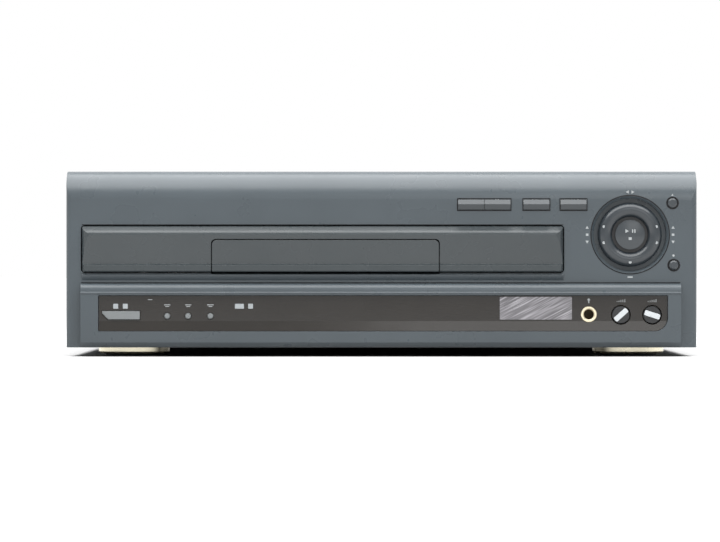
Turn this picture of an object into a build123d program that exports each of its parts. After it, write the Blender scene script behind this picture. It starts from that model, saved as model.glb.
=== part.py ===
from build123d import *
import math
import os

# Player for 300 mm and 120 mm optical discs. Millimetres, +Z up, front towards -Y.
# The origin is on the floor under the middle of the player.

# Whole player
width = 420.0
height = 123.5
depth = 395.0
foot_height = 6.0
left_x = -width / 2
right_x = width / 2
front_y = -depth / 2

# Clearances
key_gap = 0.3
door_gap = 0.6
seat_gap = 0.2
shaft_gap = 0.05
fixed_gap = 0.02
tray_gap = 0.4
screw_gap = 0.1

# Front panel, upper face
panel_wall = 3.0
panel_depth = 22.0
crown_radius = 19.5
side_radius = 3.5
block_step = 8.0
face_y = front_y + block_step
inner_y = face_y + panel_wall
panel_back = face_y + panel_depth

# Front panel, lower block and its window
block_left = left_x + 10.0
block_right = right_x - 11.0
block_top = 48.6
block_bottom = foot_height + 1.0
nose_radius = 4.7
bead_radius = 0.8
bead_relief = 0.5
bead_z = 42.3
lip_chamfer = 2.5
block_face = front_y + bead_relief
window_left = left_x + 22.0
window_right = right_x - 20.0
window_bottom = 17.0
window_top = 40.6
window_recess = 2.0
window_thick = 2.0
window_fit = 0.2
window_corner = 1.0
window_big_corner = 9.0
sill_height = 6.6
sill_forward = 1.6
window_y = block_face + window_recess
window_seat = window_y + window_thick
seat_wall = 2.2
cavity_y = window_seat + seat_wall

# Casing of sheet steel
sheet = 1.2
cover_sheet = 1.0
cover_inset = 1.7
cover_drop = 0.5
cover_hem = 2.0
pan_flange = 34.0
jack_reach = 9.0
rear_face = depth / 2 - jack_reach
rear_inner = rear_face - sheet
cover_x = width / 2 - cover_inset
pan_x = cover_x - cover_sheet
cover_top = height - cover_drop
pan_top = foot_height + sheet
rear_flange = 8.0

# Feet
foot_radius = 24.0
pad_radius = 19.0
pad_height = 1.5
foot_inset_x = 43.0
foot_inset_front = 55.0
foot_inset_rear = 42.0

# Trays and their fronts
ld_left = left_x + 10.5
ld_front_width = 320.5
ld_right = ld_left + ld_front_width
front_bottom = 56.3
front_top = 86.9
front_corner = 2.0
front_thick = 3.0
front_crest = 5.0
crest_drop = 4.9
front_lean = 3.4
lip_height = 4.6
lip_forward = 1.5
front_end_radius = 6.0
cd_front_width = 150.8
cd_front_height = 21.2
cd_front_step = 0.8
cd_corner = 3.0
disc_x = ld_left + 162.2
disc_behind = 164.0
disc_centre_y = face_y + disc_behind
ledge_height = 4.4
ledge_forward = 1.8
ledge_gap = 1.2

ld_disc_radius = 150.0
ld_well_gap = 1.5
ld_travel = 315.0
tray_side = 4.7
tray_bottom = 64.0
tray_top = 72.0
ld_floor = 66.5
channel_half = 74.0
channel_wall = 4.0
channel_bottom = 59.0
channel_floor = 61.5
groove_deep = 1.5
groove_low = 62.3
groove_high = 64.1
tray_rear = rear_inner - 9.3

cd_disc_radius = 60.0
cd_well_gap = 0.8
cd_travel = 230.0
cd_tray_top = 66.3
cd_floor = 64.0
cd_tray_tail = 126.0
slot_half = 21.0
finger_radius = 16.0
finger_drop = 1.4

# Rails that carry the large tray
rail_wall = 2.0
rail_ledge = 7.0
rail_thick = 2.0
rail_front = 9.5
rail_foot = 4.8

# Loading frame
frame_top = 49.5
frame_thick = 2.5
frame_left = left_x + 10.0
frame_right = ld_right + 1.0
frame_front = panel_back + 2.5
frame_rear = rear_inner - 7.3
frame_window_half = 68.0
frame_window_front = 65.0
frame_window_rear = 12.0
leg_size = 12.0

# Loading drive
pressure_angle = math.radians(20)
addendum = 0.8
dedendum = 1.05
backlash = 0.16
tray_module = 1.25
tray_gear_teeth = 28
pinion_teeth = 14
rack_pitch_x = ld_left + 21.5
rack_back = 7.0
rack_bottom = 57.0
rack_overrun = 12.0
gear_low = 56.3
gear_high = 61.3
gear_behind = 39.5
post_radius = 2.0
collar_radius = 4.0
pulley_radius = 12.0
pulley_rim = 1.2
pulley_low = 50.2
pulley_high = 54.6
belt_size = 1.6
motor_pulley_radius = 3.5
motor_distance = 40.0
motor_radius = 11.0
motor_length = 20.0
motor_shaft = 1.0

# Disc mechanism, drawn lowered
base_top = 35.0
base_thick = 2.0
base_half = 60.0
base_front = 30.0
base_rear = 190.0
post_inset = 7.0
lift_post_radius = 2.5
lift_travel = 9.6
spindle_radius = 14.0
spindle_height = 11.0
spindle_shaft = 1.5
turntable_radius = 19.0
turntable_seat = 58.0
turntable_thick = 5.0
platform_radius = 16.5
platform_height = 2.0
cone_radius = 7.3
cone_height = 2.2
hub_radius = 6.0
rod_radius = 2.0
rod_half = 27.0
rod_z = 43.0
rod_front = 13.0
rod_rear = 187.0
rod_block = 6.0
carriage_half = 33.0
carriage_front = 16.0
carriage_length = 46.0
carriage_low = 38.5
carriage_high = 49.0
carriage_travel = 118.0
lens_from_centre = 24.0
lens_radius = 3.5
lens_gap = 0.6
lens_top = 56.2
lens_low = 50.4
head_front = 19.6
head_length = 17.0
head_half = 15.0
head_top = 54.8
sled_module = 0.8
sled_teeth = 20
sled_pitch = 36.5
sled_low = 40.0
sled_high = 44.0
sled_behind = 55.5
sled_overrun = 8.0
sled_motor_radius = 12.0
sled_motor_height = 14.0
sled_shaft = 1.0

# Clamper over the turntable
bridge_z = 76.0
bridge_half = 22.0
bridge_foot = 9.0
bridge_left = frame_left + 0.6
bridge_right = frame_right - 0.6
clamper_radius = 17.5
clamper_bottom = 70.0
clamper_thick = 4.5
clamper_neck = 9.0
clamper_flange = 13.0
clamper_flange_thick = 2.0
clamper_recess = 8.4
clamper_recess_deep = 3.5
bridge_hole = 10.0

# Slim keys along the top right
slim_width = 17.4
slim_low = height - 25.8
slim_high = height - 19.0
slim_forward = 2.2
slim_lefts = [right_x - 159.1, right_x - 141.5, right_x - 115.6, right_x - 90.9]
key_travel = 1.0
flange_thick = 1.2
flange_lip = 1.2
stem_radius = 1.6

# Direction ring and play key
dial_x = right_x - 44.5
dial_z = height - 42.4
dial_recess = 24.3
dial_chamfer = 1.6
dial_depth = 7.0
cup_wall = 2.0
ring_outer = 21.3
ring_inner = 11.9
ring_crest = 1.5
ring_shoulder = 3.0
ring_back = 5.7
ring_skin = 1.8
ring_hollow = 2.0
ring_inner_end = 3.2
carrier_inner = 8.5
carrier_outer = 14.6
carrier_front = 3.9
carrier_thick = 1.6
pivot_radius = 0.7
lug_in = 15.0
lug_out = 17.2
lug_half = 2.0
lug_front = 3.4
ring_lug_back = 5.9
play_radius = 9.9
play_dome = 1.4
play_front = 0.6
play_back = 2.4
play_neck = 7.5
play_travel = 0.8

# Round keys on both sides of the dial column
round_radius = 3.1
round_recess = 0.8
round_places = [(right_x - 16.3, height - 21.3), (right_x - 15.5, height - 62.7)]
round_proud = 1.0

# Keys, lenses, jack and knobs in the window
power_left = left_x + 24.5
power_right = left_x + 49.4
power_low = 24.8
power_high = 30.3
power_cut = 4.0
power_travel = 1.5
small_radius = 1.9
small_z = 27.0
small_xs = [left_x + 67.6, left_x + 81.5, left_x + 96.3]
window_key_front = 0.9
lens_z = 33.5
lens_height = 3.3
lens_marks = [(left_x + 33.4, 3.3), (left_x + 39.8, 3.3), (left_x + 115.6, 6.0), (left_x + 123.0, 3.3)]
lens_corner = 0.4
mic_x = right_x - 72.3
mic_z = 28.1
mic_bore = 3.2
mic_ring = 5.3
mic_bush = 4.6
mic_length = 16.0
mic_hole = 5.0
knob_xs = [right_x - 51.0, right_x - 30.3]
knob_z = 27.8
knob_radius = 5.9
knob_gap = 0.6
knob_shaft = 3.0
knob_bar = 1.7
knob_bar_height = 1.6
knob_bar_angles = [42.0, -18.0]
knob_face = 1.9
knob_back = 5.2
badge_left = right_x - 131.5
badge_width = 48.0
badge_low = 24.6
badge_high = 39.8
badge_thick = 0.5

# Boards
board_thick = 1.6
key_board_y = face_y + 17.0
key_board_top = height - 12.5
key_board_low = height - 66.5
key_strip_low = height - 31.5
front_board_low = block_bottom + 3.5
front_board_top = block_top - 4.1
front_board_y = front_y + 22.0
switch_size = 6.0
switch_height = 3.4
tube_left = left_x + 140.0
tube_right = left_x + 200.0
tube_low = 26.0
tube_high = 39.0
tube_thick = 6.0
aperture_margin = 2.0
main_board_z = 14.0
main_left = left_x + 26.0
main_right = right_x - 104.0
main_front = front_y + 102.5
main_rear = rear_inner - 14.0
power_board_left = right_x - 80.0
power_board_right = right_x - 8.0
power_board_front = front_y + 127.5
power_board_rear = rear_inner - 47.3
standoff_radius = 3.0
standoff_inset = 8.0

# Sockets at the rear
phono_xs = [left_x + 60.0, left_x + 78.0, left_x + 96.0]
phono_zs = [25.0, 39.0]
phono_radius = 4.15
phono_insert = 3.4
phono_bore = 1.6
phono_block_deep = 19.0
phono_block_margin = 9.0
phono_flange = 5.6
inlet_x = right_x - 40.0
inlet_z = 32.0
inlet_width = 24.0
inlet_height = 15.0
inlet_deep = 15.0
inlet_cavity_width = 15.6
inlet_cavity_height = 8.0
inlet_cavity_deep = 12.0
inlet_lip = 1.5
pin_pitch = 8.6
pin_radius = 1.2
pin_length = 8.0

# Screws
screw_radius = 1.4
screw_head = 3.6
screw_head_high = 1.5
screw_length = 7.0
cover_screw_ys = [front_y + 87.5, rear_inner - 57.3]
cover_screw_z = 22.0
rear_screw_xs = [left_x + 25.0, left_x + 150.0, right_x - 150.0, right_x - 20.0]


def block(x0, x1, y0, y1, z0, z1):
    centre = Pos((x0 + x1) / 2, (y0 + y1) / 2, (z0 + z1) / 2)
    return centre * Box(x1 - x0, y1 - y0, z1 - z0)


def along_x(y, z, radius, x0, x1):
    return Pos((x0 + x1) / 2, y, z) * Rot(0, 90, 0) * Cylinder(radius, x1 - x0)


def along_y(x, z, radius, y0, y1):
    return Pos(x, (y0 + y1) / 2, z) * Rot(90, 0, 0) * Cylinder(radius, y1 - y0)


def along_z(x, y, radius, z0, z1):
    return Pos(x, y, (z0 + z1) / 2) * Cylinder(radius, z1 - z0)


def facing(sketch, y0, y1):
    """A front view, drawn in X and Z, given depth from y0 to y1."""
    plane = Plane(origin=(0, y1, 0), x_dir=(1, 0, 0), z_dir=(0, -1, 0))
    return extrude(plane * sketch, amount=y1 - y0)


def sideways(sketch, x0, x1):
    """A side view, drawn in Y and Z, given width from x0 to x1."""
    plane = Plane(origin=(x0, 0, 0), x_dir=(0, 1, 0), z_dir=(1, 0, 0))
    return extrude(plane * sketch, amount=x1 - x0)


def upward(sketch, z0, z1):
    return extrude(Plane(origin=(0, 0, z0)) * sketch, amount=z1 - z0)


def outline(*points):
    return make_face(Polyline(*points, close=True))


def rounded(x0, x1, z0, z1, radius):
    return Pos((x0 + x1) / 2, (z0 + z1) / 2) * RectangleRounded(x1 - x0, z1 - z0, radius)


def turned_y(x, z, face):
    """A profile of radius and Y, turned about an axis along Y."""
    return Pos(x, 0, z) * revolve(face, Axis.Y, 360)


def turned_z(x, y, face):
    """A profile of radius and Z, turned about an axis along Z."""
    return Pos(x, y, 0) * revolve(Plane.XZ * face, Axis.Z, 360)


# Gears and racks

def involute(radius, base_radius):
    angle = math.acos(min(1.0, base_radius / radius))
    return math.tan(angle) - angle


def gear_outline(teeth, module, turn):
    pitch_radius = teeth * module / 2
    base_radius = pitch_radius * math.cos(pressure_angle)
    tip_radius = pitch_radius + addendum * module
    root_radius = pitch_radius - dedendum * module
    start_radius = max(base_radius, root_radius)
    half_pitch = (math.pi * module / 2 - backlash) / 2 / pitch_radius
    half_base = half_pitch + involute(pitch_radius, base_radius)
    steps = 4
    flank = [(root_radius, half_base - involute(start_radius, base_radius))]
    for step in range(steps + 1):
        radius = start_radius + (tip_radius - start_radius) * step / steps
        flank.append((radius, half_base - involute(radius, base_radius)))
    if root_radius >= base_radius:
        flank = flank[1:]
    points = []
    for tooth in range(teeth):
        middle = turn + 2 * math.pi * tooth / teeth
        for radius, half in flank:
            points.append((radius * math.cos(middle - half), radius * math.sin(middle - half)))
        for radius, half in reversed(flank):
            points.append((radius * math.cos(middle + half), radius * math.sin(middle + half)))
    return outline(*points)


def gear(x, y, z0, z1, teeth, module, turn):
    return Pos(x, y, 0) * upward(gear_outline(teeth, module, turn), z0, z1)


def rack(pitch_x, back, y0, y1, gap_y, module, z0, z1):
    """Teeth that point towards +X, with a tooth gap at gap_y."""
    pitch = math.pi * module
    half = pitch / 4 - backlash / 2
    tip_half = half - addendum * module * math.tan(pressure_angle)
    root_half = half + dedendum * module * math.tan(pressure_angle)
    tip_x = pitch_x + addendum * module
    root_x = pitch_x - dedendum * module
    first = math.ceil((y0 - gap_y) / pitch)
    last = math.floor((y1 - gap_y) / pitch)
    start_y = gap_y + first * pitch
    end_y = gap_y + last * pitch
    points = [(pitch_x - back, start_y), (root_x, start_y)]
    for tooth in range(first, last):
        middle = gap_y + (tooth + 0.5) * pitch
        points.append((root_x, middle - root_half))
        points.append((tip_x, middle - tip_half))
        points.append((tip_x, middle + tip_half))
        points.append((root_x, middle + root_half))
    points.append((root_x, end_y))
    points.append((pitch_x - back, end_y))
    return upward(outline(*points), z0, z1)


# Casing

def chassis_pan():
    floor = block(-pan_x, pan_x, panel_back, rear_inner, foot_height, pan_top)
    flange_top = pan_top + pan_flange
    left = block(-pan_x, -pan_x + sheet, panel_back, rear_inner, pan_top, flange_top)
    right = block(pan_x - sheet, pan_x, panel_back, rear_inner, pan_top, flange_top)
    inner = pan_x - sheet
    front = block(-inner, inner, panel_back, panel_back + sheet, pan_top, flange_top)
    rear = block(-inner, inner, rear_inner - sheet, rear_inner, pan_top, pan_top + rear_flange)
    pan = floor + left + right + front + rear
    for x, y in board_corners():
        pan += along_z(x, y, standoff_radius, pan_top, main_board_z)
    holes = []
    for y in cover_screw_ys:
        for side in (-1, 1):
            ends = sorted([side * (pan_x + 1), side * (pan_x - 2 * sheet)])
            holes.append(along_x(y, cover_screw_z, screw_radius + screw_gap, *ends))
    for x in rear_screw_xs:
        holes.append(rear_hole(x))
    lead_half = 60.0
    holes.append(block(-lead_half, lead_half, panel_back - 1, panel_back + 2 * sheet, 24.0, 38.0))
    return pan - holes


def board_corners():
    corners = []
    for x in (main_left + standoff_inset, main_right - standoff_inset):
        for y in (main_front + standoff_inset, main_rear - 3 * standoff_inset):
            corners.append((x, y))
    for x in (power_board_left + standoff_inset, power_board_right - standoff_inset):
        for y in (power_board_front + standoff_inset, power_board_rear - standoff_inset):
            corners.append((x, y))
    return corners


def rear_screw_z():
    return pan_top + rear_flange / 2


def rear_hole(x):
    return along_y(x, rear_screw_z(), screw_radius + screw_gap, rear_inner - 2 * sheet, rear_face + 1)


def rear_panel():
    half = pan_x - sheet - fixed_gap
    plate = block(-half, half, rear_inner, rear_face, pan_top, cover_top - cover_sheet - seat_gap)
    holes = [rear_hole(x) for x in rear_screw_xs]
    for x in phono_xs:
        for z in phono_zs:
            holes.append(along_y(x, z, phono_flange + screw_gap, rear_inner - 1, rear_face + 1))
    opening = rounded(
        inlet_x - inlet_width / 2 - fixed_gap,
        inlet_x + inlet_width / 2 + fixed_gap,
        inlet_z - inlet_height / 2 - fixed_gap,
        inlet_z + inlet_height / 2 + fixed_gap,
        1.0,
    )
    holes.append(facing(opening, rear_inner - 1, rear_face + 1))
    slots = 14
    for index in range(slots):
        x = right_x - 90.0 + 5.5 * index
        holes.append(block(x, x + 2.5, rear_inner - 1, rear_face + 1, 70.0, 100.0))
    return plate - holes


def top_cover():
    outer = block(-cover_x, cover_x, panel_back, rear_face, foot_height + cover_hem, cover_top)
    inner = block(-pan_x, pan_x, panel_back - 1, rear_face + 1, foot_height, cover_top - cover_sheet)
    holes = [inner]
    for y in cover_screw_ys:
        holes.append(along_x(y, cover_screw_z, screw_radius + screw_gap, -width, width))
    slots = 12
    for index in range(slots):
        y = rear_face - 110.0 + 6.5 * index
        for side in (-1, 1):
            ends = sorted([side * (cover_x + 1), side * (pan_x - 1)])
            holes.append(block(ends[0], ends[1], y, y + 2.6, 58.0, 92.0))
    return outer - holes


def feet_places():
    places = []
    for y in (front_y + foot_inset_front, rear_inner - foot_inset_rear):
        places.append((left_x + foot_inset_x, y))
        places.append((right_x - foot_inset_x, y))
    return places


def feet():
    profile = outline(
        (0, pad_height),
        (foot_radius - 1.2, pad_height),
        (foot_radius, pad_height + 1.2),
        (foot_radius, foot_height),
        (0, foot_height),
    )
    return [turned_z(x, y, profile) for x, y in feet_places()]


def foot_pads():
    return [along_z(x, y, pad_radius, 0, pad_height) for x, y in feet_places()]


def cover_screws():
    screws = []
    for y in cover_screw_ys:
        for side in (-1, 1):
            head = sorted([side * cover_x, side * (cover_x + screw_head_high)])
            shank = sorted([side * cover_x, side * (cover_x - screw_length / 2)])
            screw = along_x(y, cover_screw_z, screw_head, *head)
            screw += along_x(y, cover_screw_z, screw_radius, *shank)
            slot = sorted([side * (cover_x + screw_head_high / 2), side * (cover_x + 2 * screw_head_high)])
            screw -= cross_slot_x(y, cover_screw_z, *slot)
            screws.append(screw)
    return screws


def cross_slot_x(y, z, x0, x1):
    arm = screw_head * 0.55
    return block(x0, x1, y - arm, y + arm, z - 0.4, z + 0.4) + block(x0, x1, y - 0.4, y + 0.4, z - arm, z + arm)


def rear_screws():
    screws = []
    arm = screw_head * 0.55
    for x in rear_screw_xs:
        z = rear_screw_z()
        screw = along_y(x, z, screw_head, rear_face, rear_face + screw_head_high)
        screw += along_y(x, z, screw_radius, rear_face - screw_length, rear_face)
        deep = rear_face + screw_head_high / 2
        screw -= block(x - arm, x + arm, deep, rear_face + 3, z - 0.4, z + 0.4)
        screw -= block(x - 0.4, x + 0.4, deep, rear_face + 3, z - arm, z + arm)
        screws.append(screw)
    return screws


# Front panel

def shell_profile(inset, back):
    top = height - inset
    bottom = foot_height + inset
    start_y = face_y + inset
    radius = crown_radius - inset
    centre_y = face_y + crown_radius
    centre_z = height - crown_radius
    bend = radius * math.sqrt(0.5)
    return make_face([
        Polyline((centre_y, top), (back, top), (back, bottom), (start_y, bottom), (start_y, centre_z)),
        ThreePointArc((start_y, centre_z), (centre_y - bend, centre_z + bend), (centre_y, top)),
    ])


def block_profile():
    back = face_y + panel_wall
    bend = nose_radius * math.sqrt(0.5)
    centre_y = block_face + nose_radius
    centre_z = block_top - nose_radius
    return make_face([
        Polyline((block_face, centre_z), (block_face, block_bottom + lip_chamfer),
                 (block_face + lip_chamfer, block_bottom), (back, block_bottom), (back, block_top),
                 (centre_y, block_top)),
        ThreePointArc((centre_y, block_top), (centre_y - bend, centre_z + bend), (block_face, centre_z)),
    ])


def window_outline(grow):
    """Three small corners and one large one, at the lower right."""
    x0 = window_left - grow
    x1 = window_right + grow
    z0 = window_bottom - grow
    z1 = window_top + grow
    big = window_big_corner + grow
    face = rounded(x0, x1, z0, z1, window_corner)
    corner = Pos(x1 - big / 2, z0 + big / 2) * Rectangle(big, big)
    return face - (corner - Pos(x1 - big, z0 + big) * Circle(big))


def ledge():
    high = front_bottom - ledge_gap
    profile = outline(
        (inner_y, high),
        (face_y - ledge_forward + 0.6, high),
        (face_y - ledge_forward, high - 0.6),
        (face_y, high - ledge_height),
        (inner_y, high - ledge_height),
    )
    return sideways(profile, ld_left, ld_right)


def front_panel():
    plan = rounded(left_x, right_x, face_y, face_y + 2 * panel_depth, side_radius)
    panel = sideways(shell_profile(0, panel_back), left_x, right_x)
    panel = panel & upward(plan, 0, height + 1)
    inside = sideways(shell_profile(panel_wall, panel_back + 1), left_x + panel_wall, right_x - panel_wall)
    panel = panel - inside
    panel += sideways(block_profile(), block_left, block_right)
    panel += along_x(front_y + bead_radius, bead_z, bead_radius, block_left, block_right)
    panel += ledge()
    panel += along_y(dial_x, dial_z, dial_recess + cup_wall, inner_y, face_y + dial_depth + cup_wall)
    panel += board_bosses()
    panel -= facing(window_outline(window_fit), front_y - 1, window_seat)
    panel -= block(
        block_left + panel_wall, block_right - panel_wall, cavity_y, panel_back + 1,
        block_bottom + panel_wall, block_top - panel_wall,
    ) - window_bosses()
    panel -= tray_opening()
    panel -= dial_cut()
    panel += dial_lugs()
    return panel - key_cuts()


def board_bosses():
    places = [
        (right_x - 75.0, height - 14.0),
        (right_x - 12.0, height - 40.0),
        (right_x - 75.0, height - 61.5),
        (right_x - 163.0, height - 24.5),
    ]
    return [along_y(x, z, standoff_radius, inner_y, key_board_y) for x, z in places]


def window_bosses():
    places = [(left_x + 18.0, 42.0), (left_x + 130.0, 14.0), (left_x + 210.0, 42.0), (right_x - 84.0, 14.0)]
    places.append((right_x - 18.0, 41.0))
    return Part() + [along_y(x, z, standoff_radius, cavity_y - 1, front_board_y) for x, z in places]


def tray_opening():
    gap = door_gap
    main = rounded(ld_left - gap, ld_right + gap, front_bottom - gap, front_top + gap, front_corner + gap)
    cuts = facing(main, front_y - 1, panel_back)
    notch = block(
        disc_x - cd_front_width / 2 - gap, disc_x + cd_front_width / 2 + gap,
        face_y - ledge_forward - 1, panel_back, front_bottom - 2 * gap, front_bottom + 1,
    )
    return cuts + notch


def dial_cut():
    floor_y = face_y + dial_depth
    rim = dial_recess + dial_chamfer
    profile = outline(
        (0, face_y - 1),
        (rim, face_y - 1),
        (rim, face_y),
        (dial_recess, face_y + dial_chamfer),
        (dial_recess, floor_y),
        (play_neck + key_gap, floor_y),
        (play_neck + key_gap, floor_y + cup_wall + 1),
        (0, floor_y + cup_wall + 1),
    )
    return turned_y(dial_x, dial_z, profile)


def pivot_y():
    return face_y + carrier_front + carrier_thick / 2


def dial_lugs():
    floor_y = face_y + dial_depth
    lugs = []
    for side in (-1, 1):
        ends = sorted([dial_x + side * lug_in, dial_x + side * lug_out])
        lug = block(ends[0], ends[1], face_y + lug_front, floor_y, dial_z - lug_half, dial_z + lug_half)
        lugs.append(lug - along_x(pivot_y(), dial_z, pivot_radius + shaft_gap, *ends))
    return lugs


def slim_outline(x0, grow):
    return rounded(x0 - grow, x0 + slim_width + grow, slim_low - grow, slim_high + grow, 0.4)


def power_outline(grow):
    x0 = power_left - grow
    x1 = power_right + grow
    z0 = power_low - grow
    z1 = power_high + grow
    cut = power_cut
    return outline((x0 + cut, z0), (x1, z0), (x1, z1), (x0, z1), (x0, z0 + cut))


def key_cuts():
    cuts = []
    for x0 in slim_lefts:
        cuts.append(facing(slim_outline(x0, key_gap), face_y - 1, inner_y + 1))
    for x, z in round_places:
        cuts.append(along_y(x, z, round_radius + round_recess, face_y - 1, face_y + 1.0))
        cuts.append(along_y(x, z, round_radius + key_gap, face_y - 1, inner_y + 1))
    seat = window_seat - 1
    cuts.append(facing(power_outline(key_gap), seat, cavity_y + 1))
    for x in small_xs:
        cuts.append(along_y(x, small_z, small_radius + key_gap, seat, cavity_y + 1))
    cuts.append(along_y(mic_x, mic_z, mic_bush + key_gap, seat, cavity_y + 1))
    for x in knob_xs:
        cuts.append(along_y(x, knob_z, knob_radius + knob_gap, seat, cavity_y + 1))
    cuts.append(block(
        tube_left + aperture_margin, tube_right - aperture_margin, seat, cavity_y + 1,
        tube_low + aperture_margin, tube_high - aperture_margin,
    ))
    return cuts


def display_window():
    back = window_seat
    sill_z = window_bottom + sill_height
    profile = outline(
        (back, window_top),
        (window_y, window_top),
        (window_y, sill_z),
        (window_y - sill_forward, window_bottom),
        (back, window_bottom),
    )
    window = sideways(profile, window_left, window_right) & facing(window_outline(0), front_y, back)
    front = window_y - sill_forward - 1
    cuts = [facing(power_outline(key_gap), front, back + 1)]
    for x in small_xs:
        cuts.append(along_y(x, small_z, small_radius + key_gap, front, back + 1))
    for x, span in lens_marks:
        cuts.append(facing(lens_outline(x, span, fixed_gap), front, back + 1))
    cuts.append(along_y(mic_x, mic_z, mic_hole + key_gap, front, back + 1))
    for x in knob_xs:
        cuts.append(along_y(x, knob_z, knob_radius + knob_gap, front, back + 1))
    cuts.append(facing(badge_outline(fixed_gap), front, window_y + badge_thick / 2))
    return window - cuts


def lens_outline(x, span, grow):
    low = lens_z - lens_height / 2
    high = lens_z + lens_height / 2
    return rounded(x - span / 2 - grow, x + span / 2 + grow, low - grow, high + grow, lens_corner)


def indicator_lenses():
    return [facing(lens_outline(x, span, 0), window_y - 0.3, window_seat) for x, span in lens_marks]


def badge_outline(grow):
    return rounded(badge_left - grow, badge_left + badge_width + grow, badge_low - grow, badge_high + grow, 0.8)


def badge_plate():
    return facing(badge_outline(0), window_y - badge_thick / 2, window_y + badge_thick / 2)


# Keys

def upper_stem(travel):
    return key_board_y - switch_height - travel - key_gap


def lower_stem(travel):
    return front_board_y - switch_height - travel - key_gap


def slim_key(x0):
    x1 = x0 + slim_width
    crest_z = (slim_low + slim_high) / 2 + 0.2
    back = inner_y + seat_gap + flange_thick
    profile = outline(
        (back, slim_low),
        (face_y - 0.2, slim_low),
        (face_y - slim_forward, crest_z),
        (face_y - 0.2, slim_high),
        (back, slim_high),
    )
    key = sideways(profile, x0, x1)
    key += block(
        x0, x1, inner_y + seat_gap, back, slim_low - flange_lip, slim_high + flange_lip,
    )
    middle_z = (slim_low + slim_high) / 2
    return key + along_y((x0 + x1) / 2, middle_z, stem_radius, back, upper_stem(key_travel))


def round_key(x, z):
    back = inner_y + seat_gap + flange_thick
    profile = outline(
        (0, face_y - round_proud),
        (round_radius * 0.7, face_y - round_proud),
        (round_radius, face_y - round_proud + 0.7),
        (round_radius, inner_y + seat_gap),
        (round_radius + flange_lip, inner_y + seat_gap),
        (round_radius + flange_lip, back),
        (stem_radius, back),
        (stem_radius, upper_stem(key_travel)),
        (0, upper_stem(key_travel)),
    )
    return turned_y(x, z, profile)


def play_key():
    floor_back = face_y + dial_depth + cup_wall
    flange_front = floor_back + seat_gap
    flange_back = flange_front + flange_thick
    rim_y = face_y + play_front
    crown = rim_y - play_dome
    neck = play_neck
    edges = [
        ThreePointArc((0, crown), (play_radius * 0.55, rim_y - play_dome * 0.7), (play_radius, rim_y)),
        Polyline(
            (play_radius, rim_y), (play_radius, face_y + play_back), (neck, face_y + play_back),
            (neck, flange_front), (neck + flange_lip, flange_front), (neck + flange_lip, flange_back),
            (stem_radius, flange_back), (stem_radius, upper_stem(play_travel)),
            (0, upper_stem(play_travel)), (0, crown),
        ),
    ]
    return turned_y(dial_x, dial_z, make_face(edges))


def direction_ring():
    middle = (ring_outer + ring_inner) / 2
    shoulder = face_y + ring_shoulder
    crest = face_y - ring_crest
    edges = [
        Line((ring_outer, face_y + ring_back), (ring_outer, shoulder)),
        ThreePointArc((ring_outer, shoulder), (middle, crest), (ring_inner, shoulder)),
        Polyline(
            (ring_inner, shoulder), (ring_inner, face_y + ring_inner_end),
            (ring_inner + ring_skin, face_y + ring_inner_end),
            (ring_inner + ring_skin, face_y + ring_hollow + 0.6),
            (ring_inner + ring_skin + 0.6, face_y + ring_hollow),
            (ring_outer - ring_skin - 0.6, face_y + ring_hollow),
            (ring_outer - ring_skin, face_y + ring_hollow + 0.6),
            (ring_outer - ring_skin, face_y + ring_back), (ring_outer, face_y + ring_back),
        ),
    ]
    ring = turned_y(dial_x, dial_z, make_face(edges))
    for side in (-1, 1):
        ends = sorted([dial_z + side * lug_in, dial_z + side * lug_out])
        low = face_y + ring_hollow - 0.5
        lug = block(dial_x - lug_half, dial_x + lug_half, low, face_y + ring_lug_back, ends[0], ends[1])
        ring += lug
        ring -= along_z(dial_x, pivot_y(), pivot_radius + shaft_gap, *ends)
    return ring


def ring_carrier():
    front = face_y + carrier_front
    back = front + carrier_thick
    plate = along_y(dial_x, dial_z, carrier_outer, front, back)
    plate -= along_y(dial_x, dial_z, carrier_inner, front - 1, back + 1)
    reach = lug_out - 0.2
    seat = (carrier_inner + carrier_outer) / 2
    for side in (-1, 1):
        ends = sorted([side * seat, side * reach])
        plate += along_x(pivot_y(), dial_z, pivot_radius, dial_x + ends[0], dial_x + ends[1])
        plate += along_z(dial_x, pivot_y(), pivot_radius, dial_z + ends[0], dial_z + ends[1])
    return plate


def power_key():
    flange_y = cavity_y + seat_gap
    back = flange_y + flange_thick
    key = facing(power_outline(0), window_y - window_key_front, back)
    low = power_low - flange_lip
    high = power_high + flange_lip
    key += block(power_left - flange_lip, power_right + flange_lip, flange_y, back, low, high)
    middle_x = (power_left + power_right) / 2
    middle_z = (power_low + power_high) / 2
    return key + along_y(middle_x, middle_z, stem_radius, back, lower_stem(power_travel))


def small_key(x):
    flange_y = cavity_y + seat_gap
    back = flange_y + flange_thick
    front = window_y - window_key_front
    profile = outline(
        (0, front),
        (small_radius - 0.4, front),
        (small_radius, front + 0.4),
        (small_radius, flange_y),
        (small_radius + flange_lip, flange_y),
        (small_radius + flange_lip, back),
        (stem_radius, back),
        (stem_radius, lower_stem(key_travel)),
        (0, lower_stem(key_travel)),
    )
    return turned_y(x, small_z, profile)


def knob(x, angle):
    """A disc with a grip bar across its face and a shaft behind it."""
    face = front_y + knob_face
    back = front_y + knob_back
    tip = back + 9.0
    profile = outline(
        (0, face),
        (knob_radius - 0.5, face),
        (knob_radius, face + 0.5),
        (knob_radius, back),
        (knob_shaft, back),
        (knob_shaft, tip),
        (0, tip),
    )
    body = turned_y(x, knob_z, profile)
    half = knob_radius - 0.6
    bar = facing(rounded(-half, half, -knob_bar, knob_bar, 0.8), face - knob_bar_height, face + 0.5)
    return body + Pos(x, 0, knob_z) * Rot(0, -angle, 0) * bar


# Boards behind the front

def switch(x, z, board_y):
    half = switch_size / 2
    return block(x - half, x + half, board_y - switch_height + 1, board_y, z - half, z + half) + along_y(
        x, z, 1.7, board_y - switch_height, board_y
    )


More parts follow.
